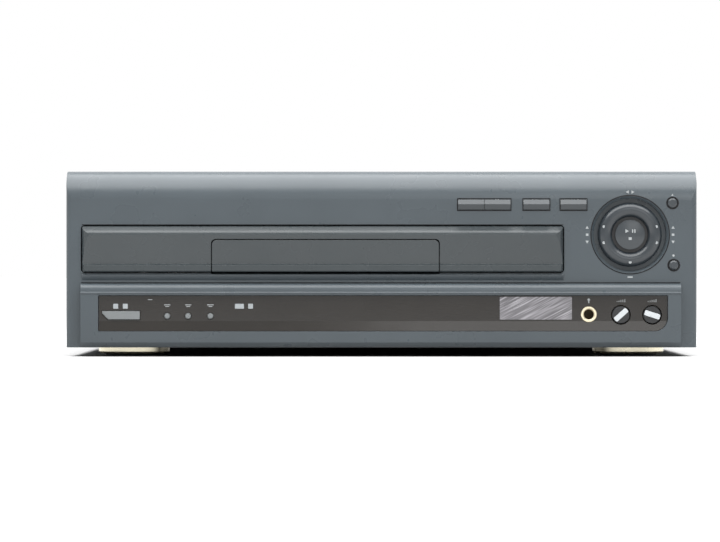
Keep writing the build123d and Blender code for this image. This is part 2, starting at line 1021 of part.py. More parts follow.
def key_board():
    back = key_board_y + board_thick
    tall = block(right_x - 82.0, right_x - 6.0, key_board_y, back, key_board_low, key_board_top)
    long = block(right_x - 166.0, right_x - 82.0, key_board_y, back, key_strip_low, key_board_top)
    board = tall + long
    middle_z = (slim_low + slim_high) / 2
    for x0 in slim_lefts:
        board += switch(x0 + slim_width / 2, middle_z, key_board_y)
    for x, z in round_places:
        board += switch(x, z, key_board_y)
    board += switch(dial_x, dial_z, key_board_y)
    return board


def display_board():
    back = front_board_y + board_thick
    board = block(left_x + 12.0, tube_right + 16.0, front_board_y, back, front_board_low, front_board_top)
    board += switch((power_left + power_right) / 2, (power_low + power_high) / 2, front_board_y)
    for x in small_xs:
        board += switch(x, small_z, front_board_y)
    holder_y = cavity_y + seat_gap + tube_thick
    board += block(tube_left + 4, tube_right - 4, holder_y, front_board_y, tube_low + 2, tube_high - 2)
    return board


def display_tube():
    start = cavity_y + seat_gap
    tube = block(tube_left, tube_right, start, start + tube_thick, tube_low, tube_high)
    return fillet(tube.edges().filter_by(Axis.Y), 1.0)


def mic_board():
    back = front_board_y + board_thick
    board = block(right_x - 92.0, right_x - 15.0, front_board_y, back, front_board_low, front_board_top)
    for x in knob_xs:
        pot = block(x - 6, x + 6, front_board_y - 6.5, front_board_y, knob_z - 6, knob_z + 6)
        pot += along_y(x, knob_z, knob_shaft + 1.4, front_y + knob_back + seat_gap, front_board_y - 6.5)
        pot -= along_y(x, knob_z, knob_shaft + shaft_gap, front_y, front_y + knob_back + 9.3)
        board += pot
    body_front = cavity_y + seat_gap
    body = block(mic_x - 7, mic_x + 7, body_front, front_board_y, mic_z - 7, mic_z + 7)
    body -= along_y(mic_x, mic_z, mic_bush + fixed_gap, body_front - 1, mic_rear() + fixed_gap)
    return board + body


def mic_rear():
    return window_y - 0.6 + mic_length


def mic_jack():
    front = window_y - 0.6
    profile = outline(
        (mic_bore, front + 0.8),
        (mic_bore + 0.8, front),
        (mic_ring - 0.4, front),
        (mic_ring, front + 0.4),
        (mic_ring, window_y - 0.1),
        (mic_bush, window_y - 0.1),
        (mic_bush, mic_rear()),
        (mic_bore, mic_rear()),
    )
    return turned_y(mic_x, mic_z, profile)


# Trays

def front_profile(step):
    """Side view of a tray front: a crest near the top, a face that leans back, and a lip."""
    back = face_y + front_thick
    crest = face_y - front_crest - step
    low_z = front_bottom + lip_height
    lean = crest + front_lean
    return outline(
        (back, front_top),
        (face_y + 0.5, front_top),
        (crest + 1.8, front_top - crest_drop + 1.8),
        (crest + 0.5, front_top - crest_drop + 0.5),
        (crest, front_top - crest_drop - 1.0),
        (crest + 0.5, front_top - crest_drop - 4.0),
        (lean, low_z + 0.8),
        (lean - lip_forward, low_z),
        (lean - lip_forward, front_bottom + 0.8),
        (lean - lip_forward + 0.8, front_bottom),
        (back, front_bottom),
    )


def cd_outline(grow):
    x0 = disc_x - cd_front_width / 2 - grow
    x1 = disc_x + cd_front_width / 2 + grow
    high = front_bottom + cd_front_height + grow
    return rounded(x0, x1, front_bottom - 10.0, high, cd_corner)


def ld_tray_front():
    start = face_y - front_crest - 1
    shape = sideways(front_profile(0), ld_left, ld_right)
    end = face_y + front_thick + 2 * front_end_radius
    plan = rounded(ld_left, ld_right, face_y - front_crest, end, front_end_radius)
    shape = shape & upward(plan, front_bottom - 1, front_top + 1)
    corners = rounded(ld_left, ld_right, front_bottom, front_top, front_corner)
    shape = shape & facing(corners, start, face_y + front_thick)
    return shape - facing(cd_outline(door_gap), start, face_y + front_thick + 1)


def cd_tray_front():
    left = disc_x - cd_front_width / 2
    shape = sideways(front_profile(cd_front_step), left, left + cd_front_width)
    return shape & facing(cd_outline(0), face_y - front_crest - 2, face_y + front_thick)


def ld_tray():
    left = ld_left + tray_side
    right = ld_right - tray_side
    start = face_y + front_thick
    outer = channel_half + channel_wall
    tray = block(left, right, start, tray_rear, tray_bottom, tray_top)
    tray += block(disc_x - outer, disc_x + outer, start, tray_rear, channel_bottom, tray_bottom)
    above = tray_top + 1
    tray -= block(disc_x - channel_half, disc_x + channel_half, start - 1, tray_rear + 1, channel_floor, above)
    tray -= along_z(disc_x, disc_centre_y, ld_disc_radius + ld_well_gap, ld_floor, above)
    for side in (-1, 1):
        ends = sorted([disc_x + side * (channel_half - 1), disc_x + side * (channel_half + groove_deep)])
        tray -= block(ends[0], ends[1], start - 1, tray_rear + 1, groove_low, groove_high)
    tray -= spindle_slot(channel_bottom - 1, above)
    tray -= [along_z(x, disc_centre_y, finger_radius, ld_floor - finger_drop, above) for x in finger_xs()]
    return tray + tray_rack()


def finger_xs():
    reach = ld_disc_radius + ld_well_gap - finger_radius - 4
    return [disc_x - reach, disc_x + reach]


def spindle_slot(z0, z1):
    """Room for the turntable and the pickup, open at the rear so that they pass."""
    slot = block(disc_x - slot_half, disc_x + slot_half, disc_centre_y, tray_rear + 1, z0, z1)
    return slot + along_z(disc_x, disc_centre_y, slot_half, z0, z1)


def gear_y():
    return face_y + gear_behind


def tray_rack():
    y0 = gear_y() - rack_overrun
    y1 = gear_y() + ld_travel + rack_overrun
    return rack(rack_pitch_x, rack_back, y0, y1, gear_y(), tray_module, rack_bottom, tray_bottom)


def cd_tray():
    half = channel_half - door_gap
    start = face_y + front_thick
    rear = disc_centre_y + cd_tray_tail
    low = channel_floor + key_gap
    tray = block(disc_x - half, disc_x + half, start, rear, low, cd_tray_top)
    tongue = half + groove_deep
    tray += block(disc_x - tongue, disc_x + tongue, start, rear, groove_low + key_gap, groove_high - key_gap)
    above = cd_tray_top + 1
    tray -= along_z(disc_x, disc_centre_y, cd_disc_radius + cd_well_gap, cd_floor, above)
    tray -= spindle_slot(low - 1, above)
    side = cd_disc_radius * 0.8
    for x in (disc_x - side, disc_x + side):
        tray -= along_z(x, disc_centre_y - side * 0.5, finger_radius * 0.7, cd_floor - 1.0, above)
    return tray


def tray_guides():
    rails = []
    for wall_side, edge in ((-1, ld_left + tray_side), (1, ld_right - tray_side)):
        inner = edge + wall_side * tray_gap
        outer = inner + wall_side * rail_wall
        reach = inner - wall_side * rail_ledge
        start = face_y + rail_front
        wall = sorted([inner, outer])
        shelf = sorted([outer, reach])
        high = tray_top + key_gap + rail_thick
        rail = block(wall[0], wall[1], start, tray_rear, frame_top, high)
        low = tray_bottom - key_gap
        rail += block(shelf[0], shelf[1], start, tray_rear, low - rail_thick, low)
        rail += block(shelf[0], shelf[1], start, tray_rear, tray_top + key_gap, high)
        foot = sorted([inner, inner + wall_side * rail_foot])
        rail += block(foot[0], foot[1], frame_front, frame_rear, frame_top, frame_top + rail_thick)
        rails.append(rail)
    return rails


# Loading frame and drive

def loading_frame():
    bottom = frame_top - frame_thick
    plate = block(frame_left, frame_right, frame_front, frame_rear, bottom, frame_top)
    front = frame_front + frame_window_front
    rear = frame_rear - frame_window_rear
    plate -= block(disc_x - frame_window_half, disc_x + frame_window_half, front, rear, bottom - 1, frame_top + 1)
    for x in (frame_left, frame_right - leg_size):
        for y in (frame_front, frame_rear - leg_size):
            plate += block(x, x + leg_size, y, y + leg_size, pan_top, bottom)
    x, y = motor_place()
    plate -= along_z(x, y, motor_shaft + 1.5, bottom - 1, frame_top + 1)
    return plate


def tray_gear_place():
    return rack_pitch_x + tray_gear_teeth * tray_module / 2, gear_y()


def pinion_place():
    x, y = tray_gear_place()
    return x + (tray_gear_teeth + pinion_teeth) * tray_module / 2, y


def motor_place():
    x, y = pinion_place()
    return x + motor_distance, y


def gear_posts():
    x, y = tray_gear_place()
    first = along_z(x, y, post_radius, frame_top, gear_high) + along_z(x, y, collar_radius, frame_top, gear_low - seat_gap)
    x, y = pinion_place()
    second = along_z(x, y, post_radius, frame_top, gear_high) + along_z(x, y, collar_radius, frame_top, pulley_low - seat_gap)
    return [first, second]


def tray_gear():
    x, y = tray_gear_place()
    wheel = gear(x, y, gear_low, gear_high, tray_gear_teeth, tray_module, math.pi)
    return wheel - along_z(x, y, post_radius + shaft_gap, gear_low - 1, gear_high + 1)


def grooved_pulley(x, y, radius, z0, z1):
    wheel = along_z(x, y, radius + pulley_rim + belt_size, z0, z1)
    middle = (z0 + z1) / 2
    groove = belt_size / 2 + 0.2
    ring = along_z(x, y, radius + 3 * belt_size, middle - groove, middle + groove)
    return wheel - (ring - along_z(x, y, radius, z0 - 1, z1 + 1))


def pulley_gear():
    x, y = pinion_place()
    wheel = grooved_pulley(x, y, pulley_radius, pulley_low, pulley_high)
    wheel += gear(x, y, pulley_high, gear_high, pinion_teeth, tray_module, math.pi / pinion_teeth)
    return wheel - along_z(x, y, post_radius + shaft_gap, pulley_low - 1, gear_high + 1)


def motor_pulley():
    x, y = motor_place()
    wheel = grooved_pulley(x, y, motor_pulley_radius, pulley_low, pulley_high)
    return wheel - along_z(x, y, motor_shaft + shaft_gap, pulley_low - 1, pulley_high - 0.8)


def belt_outline(grow):
    """Two circles and the straight runs that touch both."""
    x1, y1 = pinion_place()
    x2, y2 = motor_place()
    big = pulley_radius + grow
    small = motor_pulley_radius + grow
    lean = math.acos((big - small) / (x2 - x1))
    across = math.cos(lean)
    up = math.sin(lean)
    runs = outline(
        (x1 + big * across, y1 + big * up),
        (x2 + small * across, y2 + small * up),
        (x2 + small * across, y2 - small * up),
        (x1 + big * across, y1 - big * up),
    )
    return runs + Pos(x1, y1) * Circle(big) + Pos(x2, y2) * Circle(small)


def loading_belt():
    middle = (pulley_low + pulley_high) / 2
    low = middle - belt_size / 2
    ring = belt_outline(seat_gap / 2 + belt_size) - belt_outline(seat_gap / 2)
    return upward(ring, low, low + belt_size)


def loading_motor():
    x, y = motor_place()
    top = frame_top - frame_thick
    body = along_z(x, y, motor_radius, top - motor_length, top)
    flat = motor_radius * 0.82
    body = body & block(x - motor_radius, x + motor_radius, y - flat, y + flat, top - motor_length, top)
    return body + along_z(x, y, motor_shaft, top, pulley_high - 1.0)


# Disc mechanism

def lift_places():
    places = []
    for x in (disc_x - base_half + post_inset, disc_x + base_half - post_inset):
        for y in (base_y0() + post_inset, base_y1() - post_inset):
            places.append((x, y))
    return places


def base_y0():
    return disc_centre_y - base_front


def base_y1():
    return disc_centre_y + base_rear


def lift_posts():
    top = base_top + lift_travel + 2.0
    posts = []
    for x, y in lift_places():
        post = along_z(x, y, lift_post_radius, pan_top, top)
        posts.append(post + along_z(x, y, lift_post_radius + 2, pan_top, base_top - base_thick - seat_gap))
    return posts


def mechanism_base():
    low = base_top - base_thick
    base = block(disc_x - base_half, disc_x + base_half, base_y0(), base_y1(), low, base_top)
    for x in (disc_x - rod_half, disc_x + rod_half):
        for y in (disc_centre_y + rod_front - rod_block, disc_centre_y + rod_rear - rod_block):
            base += block(x - 5, x + 5, y, y + rod_block, base_top, rod_z + 4)
        base -= along_y(x, rod_z, rod_radius + fixed_gap, rods_y()[0], rods_y()[1])
    for x, y in lift_places():
        base += along_z(x, y, lift_post_radius + 2.5, base_top, base_top + 3)
        base -= along_z(x, y, lift_post_radius + shaft_gap, low - 1, base_top + 4)
    x, y = sled_place()
    base -= along_z(x, y, sled_shaft + 1.0, low - 1, base_top + 1)
    base -= block(disc_x - 20, disc_x + 20, disc_centre_y + 40, disc_centre_y + 165, low - 1, base_top + 1)
    return base


def rods_y():
    return disc_centre_y + rod_front - rod_block + 1, disc_centre_y + rod_rear - 1


def guide_rods():
    y0, y1 = rods_y()
    return [along_y(x, rod_z, rod_radius, y0, y1) for x in (disc_x - rod_half, disc_x + rod_half)]


def spindle_motor():
    motor = along_z(disc_x, disc_centre_y, spindle_radius, base_top, base_top + spindle_height)
    shaft_top = turntable_seat - 1.5
    return motor + along_z(disc_x, disc_centre_y, spindle_shaft, base_top + spindle_height, shaft_top)


def turntable():
    seat = turntable_seat
    platform = seat + platform_height
    low = seat - turntable_thick
    bottom = base_top + spindle_height + seat_gap
    bore = spindle_shaft + shaft_gap
    bore_top = turntable_seat - 1.5 + seat_gap
    profile = outline(
        (bore, bottom),
        (hub_radius, bottom),
        (hub_radius, low),
        (turntable_radius, low),
        (turntable_radius, seat),
        (platform_radius, seat),
        (platform_radius, platform),
        (cone_radius, platform),
        (cone_radius - 1.5, platform + cone_height),
        (0, platform + cone_height),
        (0, bore_top),
        (bore, bore_top),
    )
    return turned_z(disc_x, disc_centre_y, profile)


def lens_y():
    return disc_centre_y + lens_from_centre


def pickup_carriage():
    y0 = disc_centre_y + carriage_front
    y1 = y0 + carriage_length
    left = disc_x - carriage_half
    right = disc_x + carriage_half
    body = block(left, right, y0, y1, carriage_low, carriage_high)
    body -= block(disc_x - rod_half + 6, disc_x + rod_half - 6, y0 + 14, y1 - 3, carriage_low - 1, carriage_high - 4)
    head_y = disc_centre_y + head_front
    body += block(disc_x - head_half, disc_x + head_half, head_y, head_y + head_length, carriage_high, head_top)
    for x in (disc_x - rod_half, disc_x + rod_half):
        body -= along_y(x, rod_z, rod_radius + shaft_gap, y0 - 1, y1 + 1)
    body -= along_z(disc_x, lens_y(), lens_radius + lens_gap, lens_low - 1.0, head_top + 1)
    pitch_x = disc_x + sled_pitch
    middle = sled_place()[1]
    strip = rack(
        pitch_x, sled_pitch - carriage_half, middle - carriage_travel - sled_overrun, middle + sled_overrun,
        middle, sled_module, sled_low, sled_high,
    )
    return body + strip


def objective_lens():
    edge = lens_top - 0.8
    profile = outline(
        (0, lens_low),
        (lens_radius, lens_low),
        (lens_radius, edge),
        (lens_radius - 0.8, edge),
        (lens_radius - 1.6, lens_top - 0.2),
        (0, lens_top),
    )
    return turned_z(disc_x, lens_y(), profile)


def sled_place():
    return disc_x + sled_pitch + sled_teeth * sled_module / 2, disc_centre_y + sled_behind


def sled_motor():
    x, y = sled_place()
    low = base_top - base_thick
    motor = along_z(x, y, sled_motor_radius, low - sled_motor_height, low)
    return motor + along_z(x, y, sled_shaft, low, sled_high)


def sled_gear():
    x, y = sled_place()
    wheel = gear(x, y, sled_low - 0.5, sled_high + 0.5, sled_teeth, sled_module, math.pi)
    wheel += along_z(x, y, 3.0, base_top + seat_gap, sled_low - 0.5)
    return wheel - along_z(x, y, sled_shaft + shaft_gap, base_top - 1, sled_high + 1)


def clamp_bridge():
    y0 = disc_centre_y - bridge_half
    y1 = disc_centre_y + bridge_half
    top = bridge_z + sheet
    bridge = block(bridge_left, bridge_right, y0, y1, bridge_z, top)
    for x in (bridge_left, bridge_right - sheet):
        bridge += block(x, x + sheet, y0, y1, frame_top + rail_thick, bridge_z)
    for y in (y0, y1 - sheet):
        bridge += block(disc_x - 120, disc_x + 120, y, y + sheet, top, top + bridge_foot)
    return bridge - along_z(disc_x, disc_centre_y, bridge_hole, bridge_z - 1, top + 1)


def clamper():
    low = clamper_bottom
    disc_top = low + clamper_thick
    flange = bridge_z + sheet + seat_gap
    profile = outline(
        (clamper_recess, low),
        (clamper_radius, low),
        (clamper_radius, disc_top),
        (clamper_neck, disc_top),
        (clamper_neck, flange),
        (clamper_flange, flange),
        (clamper_flange, flange + clamper_flange_thick),
        (0, flange + clamper_flange_thick),
        (0, low + clamper_recess_deep),
        (clamper_recess, low + clamper_recess_deep),
    )
    return turned_z(disc_x, disc_centre_y, profile)


# Electronics

def main_board():
    top = main_board_z + board_thick
    board = block(main_left, main_right, main_front, main_rear, main_board_z, top)
    board -= [along_z(x, y, lift_post_radius + 3, main_board_z - 1, top + 1) for x, y in lift_places()]
    rows = 3
    for index in range(rows):
        x = main_left + 22.0 + 34.0 * index
        board += block(x, x + 20, main_front + 20, main_front + 38, top, top + 2.4)
        board += along_z(x + 10, main_front + 60, 4.0, top, top + 3.0)
    return board


def power_board():
    top = main_board_z + board_thick
    board = block(
        power_board_left, power_board_right, power_board_front, power_board_rear, main_board_z, top,
    )
    for index in range(3):
        board += along_z(power_board_left + 14 + 22 * index, power_board_front + 24, 9.0, top, top + 30)
    board += block(power_board_left + 10, power_board_right - 10, 4.0, 8.0, top, top + 34)
    return board


def transformer():
    low = main_board_z + board_thick
    x0 = power_board_left + 8
    x1 = power_board_right - 8
    y0 = power_board_rear - 72
    y1 = power_board_rear - 20
    core = block(x0, x1, y0 + 12, y1 - 12, low, low + 44)
    coil = block(x0 + 10, x1 - 10, y0, y1, low + 9, low + 35)
    coil = fillet(coil.edges().filter_by(Axis.X), 5.0)
    return core + coil


def jack_block():
    x0 = phono_xs[0] - phono_block_margin
    x1 = phono_xs[-1] + phono_block_margin
    low = main_board_z + board_thick
    high = phono_zs[-1] + phono_block_margin - 1
    y0 = rear_inner - phono_block_deep
    body = block(x0, x1, y0, rear_inner, low, high)
    return body - [along_y(x, z, phono_flange + fixed_gap, y0 + 3, rear_inner + 1) for x, z in phono_places()]


def phono_places():
    return [(x, z) for x in phono_xs for z in phono_zs]


def phono_shell(x, z):
    y0 = rear_inner - phono_block_deep + 3
    y1 = rear_face + jack_reach
    profile = outline(
        (phono_insert + fixed_gap, y0),
        (phono_flange, y0),
        (phono_flange, rear_face + 1.0),
        (phono_radius, rear_face + 1.0),
        (phono_radius, y1),
        (phono_insert + fixed_gap, y1),
    )
    return turned_y(x, z, profile)


def phono_inserts(x):
    inserts = []
    for z in phono_zs:
        y0 = rear_inner - phono_block_deep + 3
        y1 = rear_face + jack_reach - 0.6
        insert = along_y(x, z, phono_insert, y0, y1)
        inserts.append(insert - along_y(x, z, phono_bore, y1 - 8, y1 + 1))
    return inserts


def mains_inlet():
    half_w = inlet_width / 2
    half_h = inlet_height / 2
    y0 = rear_inner - inlet_deep
    y1 = rear_face + inlet_lip
    body = facing(rounded(inlet_x - half_w, inlet_x + half_w, inlet_z - half_h, inlet_z + half_h, 1.0), y0, y1)
    lip = rounded(inlet_x - half_w - 2, inlet_x + half_w + 2, inlet_z - half_h - 2, inlet_z + half_h + 2, 2.0)
    body += facing(lip, rear_face, y1)
    cavity = Pos(inlet_x, inlet_z) * SlotOverall(inlet_cavity_width, inlet_cavity_height)
    body -= facing(cavity, y1 - inlet_cavity_deep, y1 + 1)
    for side in (-1, 1):
        x = inlet_x + side * pin_pitch / 2
        start = y1 - inlet_cavity_deep
        body += along_y(x, inlet_z, pin_radius, start, start + pin_length)
    return body


# Every node and the function that makes it

nodes = {
    "chassis_pan": chassis_pan(),
    "rear_panel": rear_panel(),
    "top_cover": top_cover(),
    "front_panel": front_panel(),
    "display_window": display_window(),
    "badge_plate": badge_plate(),
    "indicator_lenses": indicator_lenses(),
    "feet": feet(),
    "foot_pads": foot_pads(),
    "case_screws": cover_screws() + rear_screws(),
    "play_key": play_key(),
    "direction_ring": direction_ring(),
    "ring_carrier": ring_carrier(),
    "power_key": power_key(),
    "key_board": key_board(),
    "display_board": display_board(),
    "display_tube": display_tube(),
    "mic_board": mic_board(),
    "mic_jack": mic_jack(),
    "mic_level_knob": knob(knob_xs[0], knob_bar_angles[0]),
    "echo_knob": knob(knob_xs[1], knob_bar_angles[1]),
    "ld_tray": ld_tray(),
    "ld_tray_front": ld_tray_front(),
    "cd_tray": cd_tray(),
    "cd_tray_front": cd_tray_front(),
    "tray_guides": tray_guides(),
    "loading_frame": loading_frame(),
    "gear_posts": gear_posts(),
    "tray_gear": tray_gear(),
    "pulley_gear": pulley_gear(),
    "motor_pulley": motor_pulley(),
    "loading_belt": loading_belt(),
    "loading_motor": loading_motor(),
    "lift_posts": lift_posts(),
    "mechanism_base": mechanism_base(),
    "guide_rods": guide_rods(),
    "spindle_motor": spindle_motor(),
    "turntable": turntable(),
    "pickup_carriage": pickup_carriage(),
    "objective_lens": objective_lens(),
    "sled_motor": sled_motor(),
    "sled_gear": sled_gear(),
    "clamp_bridge": clamp_bridge(),
    "clamper": clamper(),
    "main_board": main_board(),
    "power_board": power_board(),
    "transformer": transformer(),
    "jack_block": jack_block(),
    "phono_shells": [phono_shell(x, z) for x, z in phono_places()],
    "phono_inserts": [insert for x in phono_xs for insert in phono_inserts(x)],
    "mains_inlet": mains_inlet(),
}
for index, x0 in enumerate(slim_lefts):
    nodes[f"slim_key_{index + 1}"] = slim_key(x0)
for name, place in zip(("upper", "lower"), round_places):
    nodes[f"round_key_{name}"] = round_key(*place)
for index, x in enumerate(small_xs):
    nodes[f"small_key_{index + 1}"] = small_key(x)

os.makedirs("parts", exist_ok=True)
for name, shape in nodes.items():
    if isinstance(shape, list):
        shape = Compound(children=shape)
    export_step(shape, f"parts/{name}.step")
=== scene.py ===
import math

import bmesh
import bpy
from mathutils import Matrix, Vector


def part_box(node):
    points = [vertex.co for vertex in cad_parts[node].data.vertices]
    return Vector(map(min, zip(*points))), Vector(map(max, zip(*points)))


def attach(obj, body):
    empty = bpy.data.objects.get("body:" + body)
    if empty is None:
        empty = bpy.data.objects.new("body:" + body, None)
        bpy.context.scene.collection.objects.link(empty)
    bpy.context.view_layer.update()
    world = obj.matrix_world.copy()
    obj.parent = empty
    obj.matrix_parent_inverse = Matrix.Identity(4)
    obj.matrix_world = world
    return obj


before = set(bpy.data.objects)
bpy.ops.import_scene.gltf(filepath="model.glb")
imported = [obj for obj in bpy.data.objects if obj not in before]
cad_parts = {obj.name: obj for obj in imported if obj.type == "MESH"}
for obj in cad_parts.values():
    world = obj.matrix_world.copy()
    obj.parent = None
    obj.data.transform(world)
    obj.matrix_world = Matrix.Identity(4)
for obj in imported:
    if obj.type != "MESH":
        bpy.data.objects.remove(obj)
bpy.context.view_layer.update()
print("frame loaded:", len(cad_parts), "nodes")

mm = 0.001
# the photograph's size, middle and floor line in pixels, and the metres that one pixel covers
photo = {"width": 720, "height": 542, "middleX": 381.5, "floorY": 356.5, "scale": 0.6656 * mm}


def photoX(px):
    return (px - photo["middleX"]) * photo["scale"]


def photoZ(py):
    return (photo["floorY"] - py) * photo["scale"]


def newMaterial(name):
    mat = bpy.data.materials.new(name)
    mat.use_nodes = True
    nodes = mat.node_tree.nodes
    return mat, nodes, mat.node_tree.links, nodes["Principled BSDF"]


def objectNoise(nodes, links, scale, detail, stretch=(1, 1, 1), turn=0.0):
    coord = nodes.new("ShaderNodeTexCoord")
    mapping = nodes.new("ShaderNodeMapping")
    mapping.vector_type = "TEXTURE" if turn else "POINT"   # a turned pattern is turned, then stretched
    mapping.inputs["Rotation"].default_value = (0, math.radians(turn), 0)
    mapping.inputs["Scale"].default_value = tuple(1 / part for part in stretch) if turn else stretch
    noise = nodes.new("ShaderNodeTexNoise")
    noise.inputs["Scale"].default_value = scale
    noise.inputs["Detail"].default_value = detail
    links.new(coord.outputs["Object"], mapping.inputs["Vector"])
    links.new(mapping.outputs["Vector"], noise.inputs["Vector"])
    return noise.outputs["Fac"]


def objectAxes(nodes, links):
    coord = nodes.new("ShaderNodeTexCoord")
    split = nodes.new("ShaderNodeSeparateXYZ")
    links.new(coord.outputs["Object"], split.inputs["Vector"])
    return split.outputs


def ramp(nodes, links, value, low, high, fromLow=0.3, fromHigh=0.7):
    node = nodes.new("ShaderNodeMapRange")
    node.inputs["From Min"].default_value = fromLow
    node.inputs["From Max"].default_value = fromHigh
    node.inputs["To Min"].default_value = low
    node.inputs["To Max"].default_value = high
    links.new(value, node.inputs["Value"])
    return node.outputs["Result"]


def mixColour(nodes, links, factor, first, second):
    node = nodes.new("ShaderNodeMix")
    node.data_type = "RGBA"
    links.new(factor, node.inputs["Factor"])
    for socket, value in ((node.inputs[6], first), (node.inputs[7], second)):   # the two colour sockets
        if isinstance(value, tuple):
            socket.default_value = (*value, 1)
        else:
            links.new(value, socket)
    return node.outputs[2]


def shade(colour, factor):
    return tuple(min(1.0, channel * factor) for channel in colour)


# what a finish has where its own row says nothing: edge and grainDepth in mm, the rest as the nodes take it
usualLook = {"edge": 0.25, "grain": 2200, "grainStrength": 0.25, "grainDepth": 0.03, "stretch": (1, 1, 1),
             "turn": 0.0, "drift": 18, "driftAmount": 0.07, "wear": 0.35, "wornLift": 1.8, "fleck": 0,
             "fleckShare": 0.5, "fleckLift": 1.5, "smear": 45, "roughSpread": 0.05, "metallic": 0.0,
             "ior": 1.5, "coat": 0.0, "coatRough": 0.1, "clear": 0.0}
surface = {"bevelSamples": 4, "wornRange": (0.75, 0.99), "fleckRange": (0.45, 0.75),
           "grainDetail": 2.0, "driftDetail": 4.0, "fleckDetail": 1.0, "smearDetail": 3.0}


def addSurface(nodes, links, shader, look):
    edge = nodes.new("ShaderNodeBevel")   # softened edges in the shading alone, the mesh keeps its own
    edge.samples = surface["bevelSamples"]
    edge.inputs["Radius"].default_value = look["edge"] * mm
    bump = nodes.new("ShaderNodeBump")
    bump.inputs["Strength"].default_value = look["grainStrength"]
    bump.inputs["Distance"].default_value = look["grainDepth"] * mm
    grain = objectNoise(nodes, links, look["grain"], surface["grainDetail"], look["stretch"], look["turn"])
    links.new(grain, bump.inputs["Height"])
    links.new(edge.outputs["Normal"], bump.inputs["Normal"])
    links.new(bump.outputs["Normal"], shader.inputs["Normal"])
    # edges are worn where the softened direction leaves the face's own
    geometry = nodes.new("ShaderNodeNewGeometry")
    dot = nodes.new("ShaderNodeVectorMath")
    dot.operation = "DOT_PRODUCT"
    links.new(edge.outputs["Normal"], dot.inputs[0])
    links.new(geometry.outputs["Normal"], dot.inputs[1])
    worn = ramp(nodes, links, dot.outputs["Value"], look["wear"], 0.0, *surface["wornRange"])
    # the colour drifts between a darker and a lighter tone
    drift = objectNoise(nodes, links, look["drift"], surface["driftDetail"])
    colour = look["colour"]
    amount = look["driftAmount"]
    base = mixColour(nodes, links, ramp(nodes, links, drift, 0.0, 1.0), shade(colour, 1 - amount),
                     shade(colour, 1 + amount))
    if look["fleck"]:   # specks in paint, or streaks in brushed metal
        fleck = objectNoise(nodes, links, look["fleck"], surface["fleckDetail"], look["stretch"],
                            look["turn"])
        share = ramp(nodes, links, fleck, 0.0, look["fleckShare"], *surface["fleckRange"])
        base = mixColour(nodes, links, share, base, shade(colour, look["fleckLift"]))
    base = mixColour(nodes, links, worn, base, shade(colour, look["wornLift"]))
    links.new(base, shader.inputs["Base Color"])
    smear = objectNoise(nodes, links, look["smear"], surface["smearDetail"])
    rough = look["rough"]
    spread = look["roughSpread"]
    links.new(ramp(nodes, links, smear, rough - spread, rough + spread), shader.inputs["Roughness"])


def makeMaterial(name, ownLook):
    look = {**usualLook, **ownLook}
    mat, nodes, links, shader = newMaterial(name)
    addSurface(nodes, links, shader, look)
    shader.inputs["Metallic"].default_value = look["metallic"]
    shader.inputs["IOR"].default_value = look["ior"]
    shader.inputs["Coat Weight"].default_value = look["coat"]
    shader.inputs["Coat Roughness"].default_value = look["coatRough"]
    shader.inputs["Transmission Weight"].default_value = look["clear"]
    return mat


